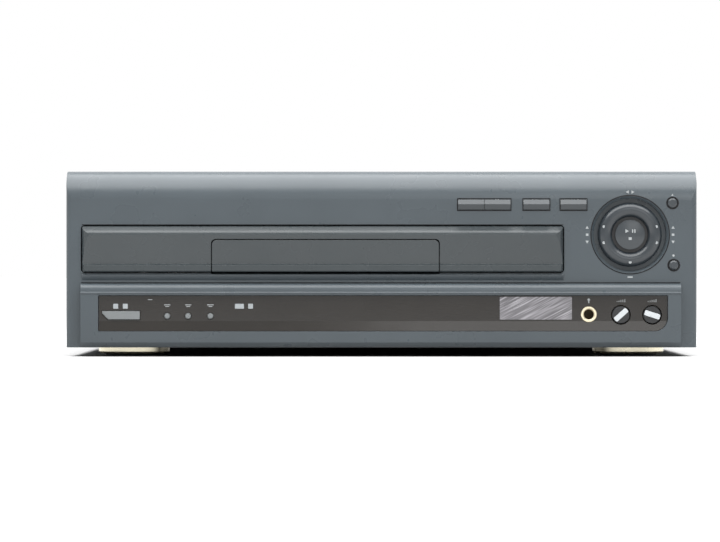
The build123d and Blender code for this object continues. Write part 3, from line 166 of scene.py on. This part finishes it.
looks = {
    "panelPlastic": {"colour": (0.078, 0.097, 0.110), "rough": 0.30, "grain": 2600, "grainStrength": 0.18,
                     "grainDepth": 0.02, "driftAmount": 0.05, "edge": 0.4, "wornLift": 1.5},
    "doorPlastic": {"colour": (0.046, 0.057, 0.062), "rough": 0.28, "grain": 2600, "grainStrength": 0.15,
                    "grainDepth": 0.02, "driftAmount": 0.05, "edge": 0.5, "wornLift": 1.7},
    "ringPlastic": {"colour": (0.040, 0.049, 0.057), "rough": 0.20, "grain": 3000, "grainStrength": 0.12,
                    "grainDepth": 0.01, "driftAmount": 0.04, "edge": 0.4, "wornLift": 1.5},
    "keyPlastic": {"colour": (0.052, 0.062, 0.070), "rough": 0.22, "grain": 3200, "grainStrength": 0.12,
                   "grainDepth": 0.01, "edge": 0.5, "wornLift": 1.6},
    "greyKey": {"colour": (0.26, 0.28, 0.285), "rough": 0.30, "grain": 3200, "grainStrength": 0.2,
                "grainDepth": 0.015, "edge": 0.35, "wornLift": 1.4},
    "blackPlastic": {"colour": (0.016, 0.017, 0.019), "rough": 0.38, "grain": 2400, "grainStrength": 0.3,
                     "grainDepth": 0.02},
    "knobPlastic": {"colour": (0.018, 0.019, 0.021), "rough": 0.28, "grain": 2400, "grainStrength": 0.15,
                    "grainDepth": 0.01, "edge": 0.3, "wornLift": 2.5},
    "trayPlastic": {"colour": (0.045, 0.050, 0.054), "rough": 0.45, "grain": 1500, "grainStrength": 0.5,
                    "edge": 0.4},
    "coverPaint": {"colour": (0.062, 0.069, 0.075), "rough": 0.45, "grain": 1300, "grainStrength": 0.6,
                   "grainDepth": 0.04, "edge": 0.4, "fleck": 1500, "wornLift": 2.2},
    "rearPaint": {"colour": (0.030, 0.032, 0.034), "rough": 0.5, "grain": 1300, "grainStrength": 0.5,
                  "edge": 0.2},
    "zincSheet": {"colour": (0.52, 0.54, 0.55), "rough": 0.38, "metallic": 1.0, "grain": 500,
                  "stretch": (1, 12, 1), "grainStrength": 0.15, "grainDepth": 0.02, "drift": 60,
                  "driftAmount": 0.12, "wornLift": 1.2},
    "brightSteel": {"colour": (0.66, 0.66, 0.65), "rough": 0.25, "metallic": 1.0, "grain": 900,
                    "stretch": (1, 1, 14), "grainStrength": 0.15, "grainDepth": 0.01, "wornLift": 1.2},
    "chrome": {"colour": (0.82, 0.81, 0.78), "rough": 0.14, "metallic": 1.0, "grain": 1500,
               "grainStrength": 0.05, "grainDepth": 0.01, "roughSpread": 0.03, "wornLift": 1.1,
               "edge": 0.15},
    "brassRing": {"colour": (0.78, 0.70, 0.52), "rough": 0.28, "metallic": 0.8, "grain": 2000,
                  "stretch": (1, 8, 1), "grainStrength": 0.12, "grainDepth": 0.01, "wornLift": 1.1,
                  "edge": 0.2},
    "silverBadge": {"colour": (0.17, 0.165, 0.175), "rough": 0.32, "metallic": 0.55, "grain": 260,
                    "stretch": (0.25, 1, 6), "turn": -28, "grainStrength": 0.6, "grainDepth": 0.05,
                    "fleck": 190, "fleckLift": 2.6, "fleckShare": 1.0, "driftAmount": 0.2, "drift": 30,
                    "edge": 0.15, "wear": 0.2, "wornLift": 1.5},
    "castBase": {"colour": (0.42, 0.43, 0.44), "rough": 0.5, "metallic": 0.9, "grain": 900,
                 "grainStrength": 0.5, "grainDepth": 0.05, "wornLift": 1.3},
    "whitePlastic": {"colour": (0.72, 0.71, 0.66), "rough": 0.4, "grain": 1500, "grainStrength": 0.2,
                     "grainDepth": 0.02, "wornLift": 1.1},
    "rubber": {"colour": (0.022, 0.022, 0.022), "rough": 0.75, "grain": 1600, "grainStrength": 0.6,
               "grainDepth": 0.04, "wornLift": 1.4},
    "goldFoot": {"colour": (0.86, 0.80, 0.62), "rough": 0.26, "metallic": 0.9, "grain": 1800,
                 "grainStrength": 0.15, "grainDepth": 0.02, "wornLift": 1.1, "edge": 0.5},
    "board": {"colour": (0.26, 0.18, 0.07), "rough": 0.5, "grain": 900, "stretch": (1, 6, 1),
              "grainStrength": 0.3, "grainDepth": 0.02, "driftAmount": 0.15, "drift": 60, "wornLift": 1.3},
    "core": {"colour": (0.075, 0.06, 0.05), "rough": 0.45, "metallic": 0.4, "grain": 300,
             "stretch": (1, 1, 9), "grainStrength": 0.6, "grainDepth": 0.1, "wornLift": 1.5},
    "lensWhite": {"colour": (0.50, 0.54, 0.56), "rough": 0.25, "grain": 2000, "grainStrength": 0.1,
                  "grainDepth": 0.01, "wornLift": 1.1, "edge": 0.3},
    "tube": {"colour": (0.016, 0.020, 0.022), "rough": 0.15, "coat": 0.6, "grain": 2500,
             "grainStrength": 0.05, "grainDepth": 0.01},
    "pickupLens": {"colour": (0.30, 0.42, 0.70), "rough": 0.08, "coat": 0.8, "grain": 2500,
                   "grainStrength": 0.03, "grainDepth": 0.005},
    "smokedWindow": {"colour": (0.030, 0.025, 0.020), "rough": 0.12, "roughSpread": 0.03, "ior": 1.49,
                     "clear": 0.3, "grain": 900, "grainStrength": 0.04, "grainDepth": 0.01,
                     "edge": 0.4, "wear": 0.15, "driftAmount": 0.08},
    "ink": {"colour": (0.52, 0.55, 0.56), "rough": 0.5, "grain": 4000, "grainStrength": 0.2,
            "grainDepth": 0.01, "edge": 0.02, "wear": 0.0},
    # near black, for the painted shade in the door gap, along the block seam and round the keys, dial and door
    "shadeBlack": {"colour": (0.008, 0.008, 0.009), "rough": 0.9, "grain": 2200, "grainStrength": 0.8,
             "grainDepth": 0.06, "wear": 0.0},
}

# three columns of sockets on the rear panel, yellow, white and red, with a printed ring round each socket
sockets = {"columns": (-150, -132, -114), "rows": (25, 39), "yellow": (0.75, 0.50, 0.03),
           "white": (0.72, 0.72, 0.70), "red": (0.50, 0.02, 0.02), "blend": 1.0,
           "ringRadius": 6.6, "ringWiden": 1.1, "segments": 40}
socketLook = {"colour": (0.6, 0.6, 0.6), "rough": 0.35, "grain": 2500, "edge": 0.15}


def socketMaterial():
    mat, nodes, links, shader = newMaterial("socketPlastic")
    addSurface(nodes, links, shader, {**usualLook, **socketLook})
    acrossX = objectAxes(nodes, links)["X"]
    yellowX, whiteX, redX = sockets["columns"]
    blend = sockets["blend"] * mm
    whiteStart = (yellowX + whiteX) / 2 * mm
    redStart = (whiteX + redX) / 2 * mm
    white = ramp(nodes, links, acrossX, 0.0, 1.0, whiteStart - blend, whiteStart + blend)
    red = ramp(nodes, links, acrossX, 0.0, 1.0, redStart - blend, redStart + blend)
    colour = mixColour(nodes, links, white, sockets["yellow"], sockets["white"])
    colour = mixColour(nodes, links, red, colour, sockets["red"])
    links.new(colour, shader.inputs["Base Color"])
    return mat


materials = {name: makeMaterial(name, look) for name, look in looks.items()}
materials["socketPlastic"] = socketMaterial()

knobGrip = {"back": 1.2, "blend": 0.3, "colour": (0.62, 0.65, 0.67), "metallic": 0.6}


# the grip bar stands in front of the knob's face and is silvered
def brightenGrip(mat, frontY):
    nodes = mat.node_tree.nodes
    links = mat.node_tree.links
    shader = nodes["Principled BSDF"]
    inwards = objectAxes(nodes, links)["Y"]
    gripEnd = frontY + knobGrip["back"] * mm
    grip = ramp(nodes, links, inwards, 1.0, 0.0, gripEnd, gripEnd + knobGrip["blend"] * mm)
    plain = shader.inputs["Base Color"].links[0].from_socket
    links.new(mixColour(nodes, links, grip, plain, knobGrip["colour"]), shader.inputs["Base Color"])
    links.new(ramp(nodes, links, grip, 0.0, knobGrip["metallic"], 0.0, 1.0), shader.inputs["Metallic"])


micBore = {"radius": 3.25, "blend": 0.1, "colour": (0.006, 0.006, 0.006), "metallic": 0.8}


# the inside of the microphone socket is black, and its ring is metal
def darkenBore(mat, low, high):
    nodes = mat.node_tree.nodes
    links = mat.node_tree.links
    shader = nodes["Principled BSDF"]
    coord = nodes.new("ShaderNodeTexCoord")
    flatten = nodes.new("ShaderNodeVectorMath")
    flatten.operation = "MULTIPLY"
    flatten.inputs[1].default_value = (1, 0, 1)
    links.new(coord.outputs["Object"], flatten.inputs[0])
    away = nodes.new("ShaderNodeVectorMath")
    away.operation = "DISTANCE"
    away.inputs[1].default_value = ((low.x + high.x) / 2, 0, (low.z + high.z) / 2)
    links.new(flatten.outputs["Vector"], away.inputs[0])
    radius = micBore["radius"] * mm
    ring = ramp(nodes, links, away.outputs["Value"], 0.0, 1.0, radius, radius + micBore["blend"] * mm)
    metal = shader.inputs["Base Color"].links[0].from_socket
    links.new(mixColour(nodes, links, ring, micBore["colour"], metal), shader.inputs["Base Color"])
    links.new(ramp(nodes, links, ring, 0.0, micBore["metallic"], 0.0, 1.0), shader.inputs["Metallic"])


darkenBore(materials["brassRing"], *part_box("mic_jack"))
brightenGrip(materials["knobPlastic"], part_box("echo_knob")[0].y)

nodeFinish = {
    "panelPlastic": ["front_panel"],
    "doorPlastic": ["ld_tray_front", "cd_tray_front"],
    "ringPlastic": ["direction_ring"],
    "knobPlastic": ["mic_level_knob", "echo_knob"],
    "keyPlastic": ["slim_key_1", "slim_key_2", "slim_key_3", "slim_key_4", "play_key", "round_key_upper",
                   "round_key_lower"],
    "greyKey": ["power_key", "small_key_1", "small_key_2", "small_key_3"],
    "blackPlastic": ["ring_carrier", "tray_guides", "loading_frame", "turntable", "clamper", "jack_block",
                     "mains_inlet"],
    "trayPlastic": ["ld_tray", "cd_tray"],
    "coverPaint": ["top_cover"],
    "rearPaint": ["rear_panel", "case_screws"],
    "zincSheet": ["chassis_pan", "clamp_bridge"],
    "brightSteel": ["gear_posts", "loading_motor", "lift_posts", "guide_rods", "spindle_motor",
                    "sled_motor"],
    "chrome": ["phono_shells"],
    "brassRing": ["mic_jack"],
    "silverBadge": ["badge_plate"],
    "castBase": ["mechanism_base", "pickup_carriage"],
    "whitePlastic": ["tray_gear", "pulley_gear", "motor_pulley", "sled_gear"],
    "rubber": ["loading_belt", "foot_pads"],
    "goldFoot": ["feet"],
    "board": ["key_board", "display_board", "mic_board", "main_board", "power_board"],
    "core": ["transformer"],
    "lensWhite": ["indicator_lenses"],
    "tube": ["display_tube"],
    "pickupLens": ["objective_lens"],
    "smokedWindow": ["display_window"],
    "socketPlastic": ["phono_inserts"],
}
for finish, names in nodeFinish.items():
    for name in names:
        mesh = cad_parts[name].data
        if not mesh.materials:
            mesh.materials.append(materials[finish])
        for index in range(len(mesh.materials)):
            mesh.materials[index] = materials[finish]
print("materials made:", len(materials))


def makePiece(name, bm, finish, body):
    mesh = bpy.data.meshes.new(name)
    bmesh.ops.recalc_face_normals(bm, faces=bm.faces)
    bm.to_mesh(mesh)
    bm.free()
    piece = bpy.data.objects.new(name, mesh)
    bpy.context.collection.objects.link(piece)
    mesh.materials.append(materials[finish])
    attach(piece, body)
    return piece


front = {"faceBehindNose": 8, "windowBehindBadge": 0.25, "inkRise": 0.04}
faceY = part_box("front_panel")[0].y + front["faceBehindNose"] * mm   # the panel's upper face
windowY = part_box("badge_plate")[0].y + front["windowBehindBadge"] * mm
inkDepth = 2 * front["inkRise"] * mm   # half of it stands proud of the face
towardsViewer = Matrix.Rotation(math.pi / 2, 4, "X")
dialX = photoX(630.1)   # the middle of the play key and its ring
dialZ = photoZ(234.7)


def addBlock(bm, middle, size):
    made = bmesh.ops.create_cube(bm, size=1.0)
    place = Matrix.Translation(middle) @ Matrix.Diagonal((*size, 1))
    bmesh.ops.transform(bm, matrix=place, verts=made["verts"])


def addBar(bm, low, high):
    addBlock(bm, (Vector(low) + Vector(high)) / 2, Vector(high) - Vector(low))


def addMark(bm, x, z, y, wide, high, deep=inkDepth):
    addBlock(bm, (x, y, z), (wide * mm, deep, high * mm))


# a dot, or a triangle where it has three sides
def addPoint(bm, x, z, y, radius, sides, turn=0.0, deep=inkDepth):
    made = bmesh.ops.create_cone(bm, cap_ends=True, cap_tris=False, segments=sides, radius1=radius * mm,
                                 radius2=radius * mm, depth=deep)
    place = Matrix.Translation((x, y, z)) @ Matrix.Rotation(math.radians(turn), 4, "Y") @ towardsViewer
    bmesh.ops.transform(bm, matrix=place, verts=made["verts"])


# a flat ring that faces the viewer, with its thickness behind y
def addRing(bm, x, z, y, inner, widen, segments, thick):
    before = len(bm.verts)
    made = bmesh.ops.create_circle(bm, cap_ends=False, segments=segments, radius=inner)
    bm.edges.ensure_lookup_table()
    wide = bmesh.ops.extrude_edge_only(bm, edges=bm.edges[-len(made["verts"]):])
    outer = [item for item in wide["geom"] if isinstance(item, bmesh.types.BMVert)]
    faces = [item for item in wide["geom"] if isinstance(item, bmesh.types.BMFace)]
    bmesh.ops.scale(bm, vec=(widen, widen, 1), verts=outer)
    bmesh.ops.solidify(bm, geom=faces, thickness=thick)
    bm.verts.ensure_lookup_table()
    place = Matrix.Translation((x, y, z)) @ towardsViewer
    bmesh.ops.transform(bm, matrix=place, verts=bm.verts[before:])


def softenEdges(bm, offset, segments):
    bmesh.ops.bevel(bm, geom=bm.edges, offset=offset * mm, segments=segments, affect="EDGES", profile=0.5,
                    material=-1)


shadeStrip = {"overlap": 1.6, "rise": 3.0, "thick": 1.2, "behindDoor": 0.35, "beyond": 1.2, "edge": 0.3,
        "edgeSegments": 2}


# painted shade: a near-black strip behind the top edge of the tray door, standing in for the shade inside the
# unit, so less light comes through its gap
def makeDoorGapShade():
    low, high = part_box("ld_tray_front")
    frontY = high.y + shadeStrip["behindDoor"] * mm
    bm = bmesh.new()
    addBar(bm, (low.x - shadeStrip["beyond"] * mm, frontY, high.z - shadeStrip["overlap"] * mm),
           (high.x + shadeStrip["beyond"] * mm, frontY + shadeStrip["thick"] * mm, high.z + shadeStrip["rise"] * mm))
    softenEdges(bm, shadeStrip["edge"], shadeStrip["edgeSegments"])
    return makePiece("doorGapShade", bm, "shadeBlack", "case")


seamShadow = {"z": 48.6, "high": 0.75, "proud": 0.25, "sunk": 0.2, "leftReach": 12, "rightReach": 9, "edge": 0.05,
        "edgeSegments": 1}


# painted shadow: a dark strip where the lower block meets the panel's face, standing in for the shadow in the
# groove above the block
def makeSeamShadow():
    windowLow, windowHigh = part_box("display_window")
    bm = bmesh.new()
    addBar(bm, (windowLow.x - seamShadow["leftReach"] * mm, faceY - seamShadow["proud"] * mm, seamShadow["z"] * mm),
           (windowHigh.x + seamShadow["rightReach"] * mm, faceY + seamShadow["sunk"] * mm,
            (seamShadow["z"] + seamShadow["high"]) * mm))
    softenEdges(bm, seamShadow["edge"], seamShadow["edgeSegments"])
    return makePiece("blockSeamShadow", bm, "shadeBlack", "case")


gapShadow = {"wide": 0.55, "proud": 0.05, "sunk": 0.1, "gap": 0.32, "keyInset": 0.25, "keyHalf": 3.4,
       "doorGap": 0.62, "doorLine": 0.45, "roundInner": 3.45, "roundOuter": 4.25, "dialInner": 25.8,
       "dialOuter": 26.5, "segments": 72}
shadowFrontY = faceY - gapShadow["proud"] * mm
shadowBackY = faceY + gapShadow["sunk"] * mm


# four thin bars of painted shadow round an opening
def addFrame(bm, x0, x1, z0, z1):
    wide = gapShadow["wide"] * mm
    addBar(bm, (x0 - wide, shadowFrontY, z1), (x1 + wide, shadowBackY, z1 + wide))
    addBar(bm, (x0 - wide, shadowFrontY, z0 - wide), (x1 + wide, shadowBackY, z0))
    addBar(bm, (x0 - wide, shadowFrontY, z0), (x0, shadowBackY, z1))
    addBar(bm, (x1, shadowFrontY, z0), (x1 + wide, shadowBackY, z1))


# a ring of painted shadow round a round key or the dial
def addRoundShadow(bm, name, inner, outer):
    low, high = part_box(name)
    addRing(bm, (low.x + high.x) / 2, (low.z + high.z) / 2, faceY, inner * mm, outer / inner,
            gapShadow["segments"], 2 * gapShadow["proud"] * mm)


# painted shadow: dark lines round the keys, the dial and the tray door, standing in for the shadow that lies
# in their gaps
def makeGapShadows():
    bm = bmesh.new()
    gap = gapShadow["gap"] * mm
    reach = gapShadow["keyHalf"] * mm + gap
    inset = gapShadow["keyInset"] * mm - gap
    slots = [("slim_key_1", "slim_key_2"), ("slim_key_3", "slim_key_3"), ("slim_key_4", "slim_key_4")]
    for first, last in slots:   # slim keys 1 and 2 share a slot
        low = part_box(first)[0]
        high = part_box(last)[1]
        middle = (low.z + high.z) / 2
        addFrame(bm, low.x + inset, high.x - inset, middle - reach, middle + reach)
    low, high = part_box("ld_tray_front")
    lineZ = high.z + gapShadow["doorGap"] * mm
    addBar(bm, (low.x, shadowFrontY, lineZ), (high.x, shadowBackY, lineZ + gapShadow["doorLine"] * mm))
    addRoundShadow(bm, "round_key_upper", gapShadow["roundInner"], gapShadow["roundOuter"])
    addRoundShadow(bm, "round_key_lower", gapShadow["roundInner"], gapShadow["roundOuter"])
    addRoundShadow(bm, "direction_ring", gapShadow["dialInner"], gapShadow["dialOuter"])
    return makePiece("gapShadowLines", bm, "shadeBlack", "case")


# the strokes of a symbol, in shares of its size
strokes = {"stop": 1.7, "pauseApart": 0.6, "pauseBar": (0.6, 1.9), "openArrow": 1.15, "openArrowUp": 0.5,
           "openBar": (2.0, 0.45), "openBarDown": 0.9, "skipArrow": 1.05, "skipApart": 0.75,
           "skipBar": (0.45, 1.9), "skipBarOut": 1.9}


def addSymbol(bm, x, z, y, kind, size):
    unit = size * mm
    if kind == "stop":
        addMark(bm, x, z, y, strokes["stop"] * size, strokes["stop"] * size)
    elif kind == "pause":
        wide, high = strokes["pauseBar"]
        for side in (-1, 1):
            addMark(bm, x + side * strokes["pauseApart"] * unit, z, y, wide * size, high * size)
    elif kind == "open":
        wide, high = strokes["openBar"]
        addPoint(bm, x, z + strokes["openArrowUp"] * unit, y, strokes["openArrow"] * size, 3)
        addMark(bm, x, z - strokes["openBarDown"] * unit, y, wide * size, high * size)
    else:
        way = 1 if kind == "ahead" else -1
        wide, high = strokes["skipBar"]
        for step in (-1, 1):
            addPoint(bm, x + step * strokes["skipApart"] * unit, z, y, strokes["skipArrow"] * size, 3,
                     90 * way)
        addMark(bm, x + way * strokes["skipBarOut"] * unit, z, y, wide * size, high * size)


# places in pixels of the photograph, the rest in mm
panelMarks = {
    "keys": [(471, "stop"), (497, "pause"), (536.5, "back"), (574, "ahead")],
    "keyZ": 103.4, "keySize": 1.35,
    "sideOut": 28.6, "sideStep": 4.6, "sideArrow": 1.25, "sideBar": (1.7, 1.5),
    "topUp": 28.4, "topApart": 1.6, "topArrow": 1.3, "lowDown": 28.2, "lowBar": (3.4, 1.0),
    "open": (672.5, 196.0), "openBack": 0.3, "openSize": 0.9,
    "dot": (673.5, 255.5), "dotRadius": 0.8, "dotSides": 16,
}


def makePanelMarks():
    bm = bmesh.new()
    for px, kind in panelMarks["keys"]:   # at keyZ the slim keys stand in front of most of each symbol
        addSymbol(bm, photoX(px), panelMarks["keyZ"] * mm, faceY, kind, panelMarks["keySize"])
    for side in (-1, 1):   # arrows and a bar on both sides of the direction ring
        x = dialX + side * panelMarks["sideOut"] * mm
        step = panelMarks["sideStep"] * mm
        addPoint(bm, x, dialZ + step, faceY, panelMarks["sideArrow"], 3)
        addMark(bm, x, dialZ, faceY, *panelMarks["sideBar"])
        addPoint(bm, x, dialZ - step, faceY, panelMarks["sideArrow"], 3, 180)
    for step in (-1, 1):   # the panel's curved top falls back behind these two arrows
        addPoint(bm, dialX + step * panelMarks["topApart"] * mm, dialZ + panelMarks["topUp"] * mm, faceY,
                 panelMarks["topArrow"], 3, 90 * step)
    addMark(bm, dialX, dialZ - panelMarks["lowDown"] * mm, faceY, *panelMarks["lowBar"])
    px, py = panelMarks["open"]
    addSymbol(bm, photoX(px), photoZ(py), faceY + panelMarks["openBack"] * mm, "open",
              panelMarks["openSize"])
    px, py = panelMarks["dot"]
    addPoint(bm, photoX(px), photoZ(py), faceY, panelMarks["dotRadius"], panelMarks["dotSides"])
    return makePiece("panelMarks", bm, "ink", "case")


# places in pixels of the photograph, the rest in mm
windowMarks = {
    "tick": (150.5, 299.6), "tickBar": (3.0, 0.5),
    "lines": (167.6, 188.5, 210.7), "lineRow": 304.8, "upperBar": (4.2, 0.5), "lowerBar": (2.6, 0.4),
    "lowerDown": 1.1,
    "wedges": (620.4, 651.5), "wedgeRow": 301.5, "wedgeTicks": 5, "wedgeApart": 1.3, "wedgeRise": 0.15,
    "wedgeWide": 0.4, "wedgeHigh": 0.6, "wedgeGrowth": 0.35,
    "mic": (588.3, 300.5), "micHead": 0.85, "micSides": 14, "micHeadUp": 0.6, "micStem": (0.7, 1.6),
    "micStemDown": 0.9,
}


def makeWindowMarks():
    bm = bmesh.new()
    px, py = windowMarks["tick"]
    addMark(bm, photoX(px), photoZ(py), windowY, *windowMarks["tickBar"])
    z = photoZ(windowMarks["lineRow"])
    for px in windowMarks["lines"]:
        addMark(bm, photoX(px), z, windowY, *windowMarks["upperBar"])
        addMark(bm, photoX(px), z - windowMarks["lowerDown"] * mm, windowY, *windowMarks["lowerBar"])
    z = photoZ(windowMarks["wedgeRow"])
    middle = windowMarks["wedgeTicks"] // 2
    for px in windowMarks["wedges"]:   # a rising wedge of ticks over each knob
        for tick in range(windowMarks["wedgeTicks"]):
            addMark(bm, photoX(px) + (tick - middle) * windowMarks["wedgeApart"] * mm,
                    z + tick * windowMarks["wedgeRise"] * mm, windowY, windowMarks["wedgeWide"],
                    windowMarks["wedgeHigh"] + windowMarks["wedgeGrowth"] * tick)
    px, py = windowMarks["mic"]
    addPoint(bm, photoX(px), photoZ(py) + windowMarks["micHeadUp"] * mm, windowY, windowMarks["micHead"],
             windowMarks["micSides"])
    addMark(bm, photoX(px), photoZ(py) - windowMarks["micStemDown"] * mm, windowY, *windowMarks["micStem"])
    return makePiece("windowMarks", bm, "ink", "case")


# crest and roundness are the radii of the ring's rounded front
ringMarks = {"radius": 18.3, "spread": 17.0, "dot": 0.95, "dotSides": 14, "deep": 0.7, "sunk": 0.2,
             "crest": 16.6, "roundness": 4.7}


# small raised dots on the direction ring, in pairs at left and right and one below
def makeRingMarks():
    bm = bmesh.new()
    roundness = ringMarks["roundness"] * mm
    offset = ringMarks["radius"] * mm - ringMarks["crest"] * mm
    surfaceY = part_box("direction_ring")[0].y + roundness - math.sqrt(roundness * roundness - offset * offset)
    spread = ringMarks["spread"]
    for angle in (180 - spread, 180 + spread, spread, -spread, -90):
        x = dialX + ringMarks["radius"] * mm * math.cos(math.radians(angle))
        z = dialZ + ringMarks["radius"] * mm * math.sin(math.radians(angle))
        addPoint(bm, x, z, surfaceY + ringMarks["sunk"] * mm, ringMarks["dot"], ringMarks["dotSides"], 0.0,
                 ringMarks["deep"] * mm)
    return makePiece("ringMarks", bm, "ink", "direction_ring")


playMarks = {"deep": 0.36, "sunk": 0.14, "out": 2.4, "up": 2.4, "playArrow": 1.5, "pauseApart": 0.75,
             "pauseBar": (0.75, 2.3), "stopDown": 2.6, "stopBar": (2.0, 1.8)}


# raised play, pause and stop symbols on the domed play key
def makePlayMarks():
    bm = bmesh.new()
    deep = playMarks["deep"] * mm
    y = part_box("play_key")[0].y + playMarks["sunk"] * mm
    z = dialZ + playMarks["up"] * mm
    addPoint(bm, dialX - playMarks["out"] * mm, z, y, playMarks["playArrow"], 3, 90, deep)
    for side in (-1, 1):
        x = dialX + (playMarks["out"] + side * playMarks["pauseApart"]) * mm
        addMark(bm, x, z, y, *playMarks["pauseBar"], deep)
    addMark(bm, dialX, dialZ - playMarks["stopDown"] * mm, y, *playMarks["stopBar"], deep)
    return makePiece("playMarks", bm, "ink", "play_key")


# the rings lie in the rear panel, level with its face
def makeSocketRings():
    bm = bmesh.new()
    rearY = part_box("rear_panel")[1].y
    for x in sockets["columns"]:
        for z in sockets["rows"]:
            addRing(bm, x * mm, z * mm, rearY, sockets["ringRadius"] * mm, sockets["ringWiden"],
                    sockets["segments"], inkDepth)
    return makePiece("socketRings", bm, "ink", "case")


makeDoorGapShade()
makeSeamShadow()
makeGapShadows()
makePanelMarks()
makeWindowMarks()
makeRingMarks()
makePlayMarks()
makeSocketRings()
print("pieces made")

stage = {"distance": 3.0, "clipEnd": 200, "worldLight": 0.24, "floorSize": 60.0, "floorRough": 0.9,
         "floorColour": (0.45, 0.45, 0.45), "floorGlow": 1.05, "shadowReach": 0.12, "shadowSamples": 12,
         "shadowRange": (0.25, 0.9)}
lamps = {
    "topLamp": {"place": (0.0, -0.25, 1.35), "target": (0, -0.15, 0.1), "size": (2.6, 2.0), "power": 66.0},
    "frontLamp": {"place": (0.5, -2.1, 0.75), "target": (0, -0.2, 0.06), "size": (1.0, 0.8), "power": 4.0},
}


def cameraOrReflection(nodes, links):
    path = nodes.new("ShaderNodeLightPath")
    seen = path.outputs["Is Camera Ray"]
    for ray in ("Is Transmission Ray", "Is Glossy Ray"):
        either = nodes.new("ShaderNodeMath")
        either.operation = "MAXIMUM"
        links.new(seen, either.inputs[0])
        links.new(path.outputs[ray], either.inputs[1])
        seen = either.outputs["Value"]
    return seen


def makeFloor():
    bm = bmesh.new()
    bmesh.ops.create_grid(bm, x_segments=1, y_segments=1, size=stage["floorSize"] / 2)
    mesh = bpy.data.meshes.new("studioFloor")
    bm.to_mesh(mesh)
    bm.free()
    floor = bpy.data.objects.new("studioFloor", mesh)
    bpy.context.collection.objects.link(floor)
    mat, nodes, links, shader = newMaterial("paleFloor")
    shader.inputs["Base Color"].default_value = (*stage["floorColour"], 1)
    shader.inputs["Roughness"].default_value = stage["floorRough"]
    shader.inputs["Specular IOR Level"].default_value = 0.0
    openSky = nodes.new("ShaderNodeAmbientOcclusion")
    openSky.samples = stage["shadowSamples"]
    openSky.inputs["Distance"].default_value = stage["shadowReach"]
    glow = nodes.new("ShaderNodeMath")   # the floor glows white to the camera, and ambient occlusion takes the glow away under the casing as a painted shadow
    glow.operation = "MULTIPLY"
    links.new(cameraOrReflection(nodes, links), glow.inputs[0])
    openFloor = ramp(nodes, links, openSky.outputs["AO"], 0.0, stage["floorGlow"], *stage["shadowRange"])
    links.new(openFloor, glow.inputs[1])
    links.new(glow.outputs["Value"], shader.inputs["Emission Strength"])
    shader.inputs["Emission Color"].default_value = (1, 1, 1, 1)
    mesh.materials.append(mat)


def makeWorld():
    world = bpy.data.worlds.new("studioWorld")
    bpy.context.scene.world = world
    world.use_nodes = True
    nodes = world.node_tree.nodes
    links = world.node_tree.links
    background = nodes["Background"]
    strength = ramp(nodes, links, cameraOrReflection(nodes, links), stage["worldLight"], 1.0, 0.0, 1.0)
    links.new(strength, background.inputs["Strength"])
    background.inputs["Color"].default_value = (1, 1, 1, 1)


def makeLamp(name, lampSetting):
    data = bpy.data.lights.new(name, "AREA")
    data.shape = "RECTANGLE"
    data.size, data.size_y = lampSetting["size"]
    data.energy = lampSetting["power"]
    lamp = bpy.data.objects.new(name, data)
    lamp.location = lampSetting["place"]
    aim = Vector(lampSetting["target"]) - Vector(lampSetting["place"])
    lamp.rotation_euler = aim.to_track_quat("-Z", "Y").to_euler()
    bpy.context.collection.objects.link(lamp)


def makeCamera():
    data = bpy.data.cameras.new("photoCamera")
    camera = bpy.data.objects.new("photoCamera", data)
    bpy.context.collection.objects.link(camera)
    camera.location = (photoX(photo["width"] / 2), -stage["distance"], photoZ(photo["height"] / 2))
    camera.rotation_euler = (math.pi / 2, 0, 0)
    across = photo["width"] * photo["scale"]
    data.lens = data.sensor_width * (stage["distance"] + faceY) / across
    data.clip_end = stage["clipEnd"]
    bpy.context.scene.camera = camera


makeFloor()
makeWorld()
for name, lampSetting in lamps.items():
    makeLamp(name, lampSetting)
makeCamera()
bpy.context.scene.view_settings.view_transform = "Standard"
print("stage made")
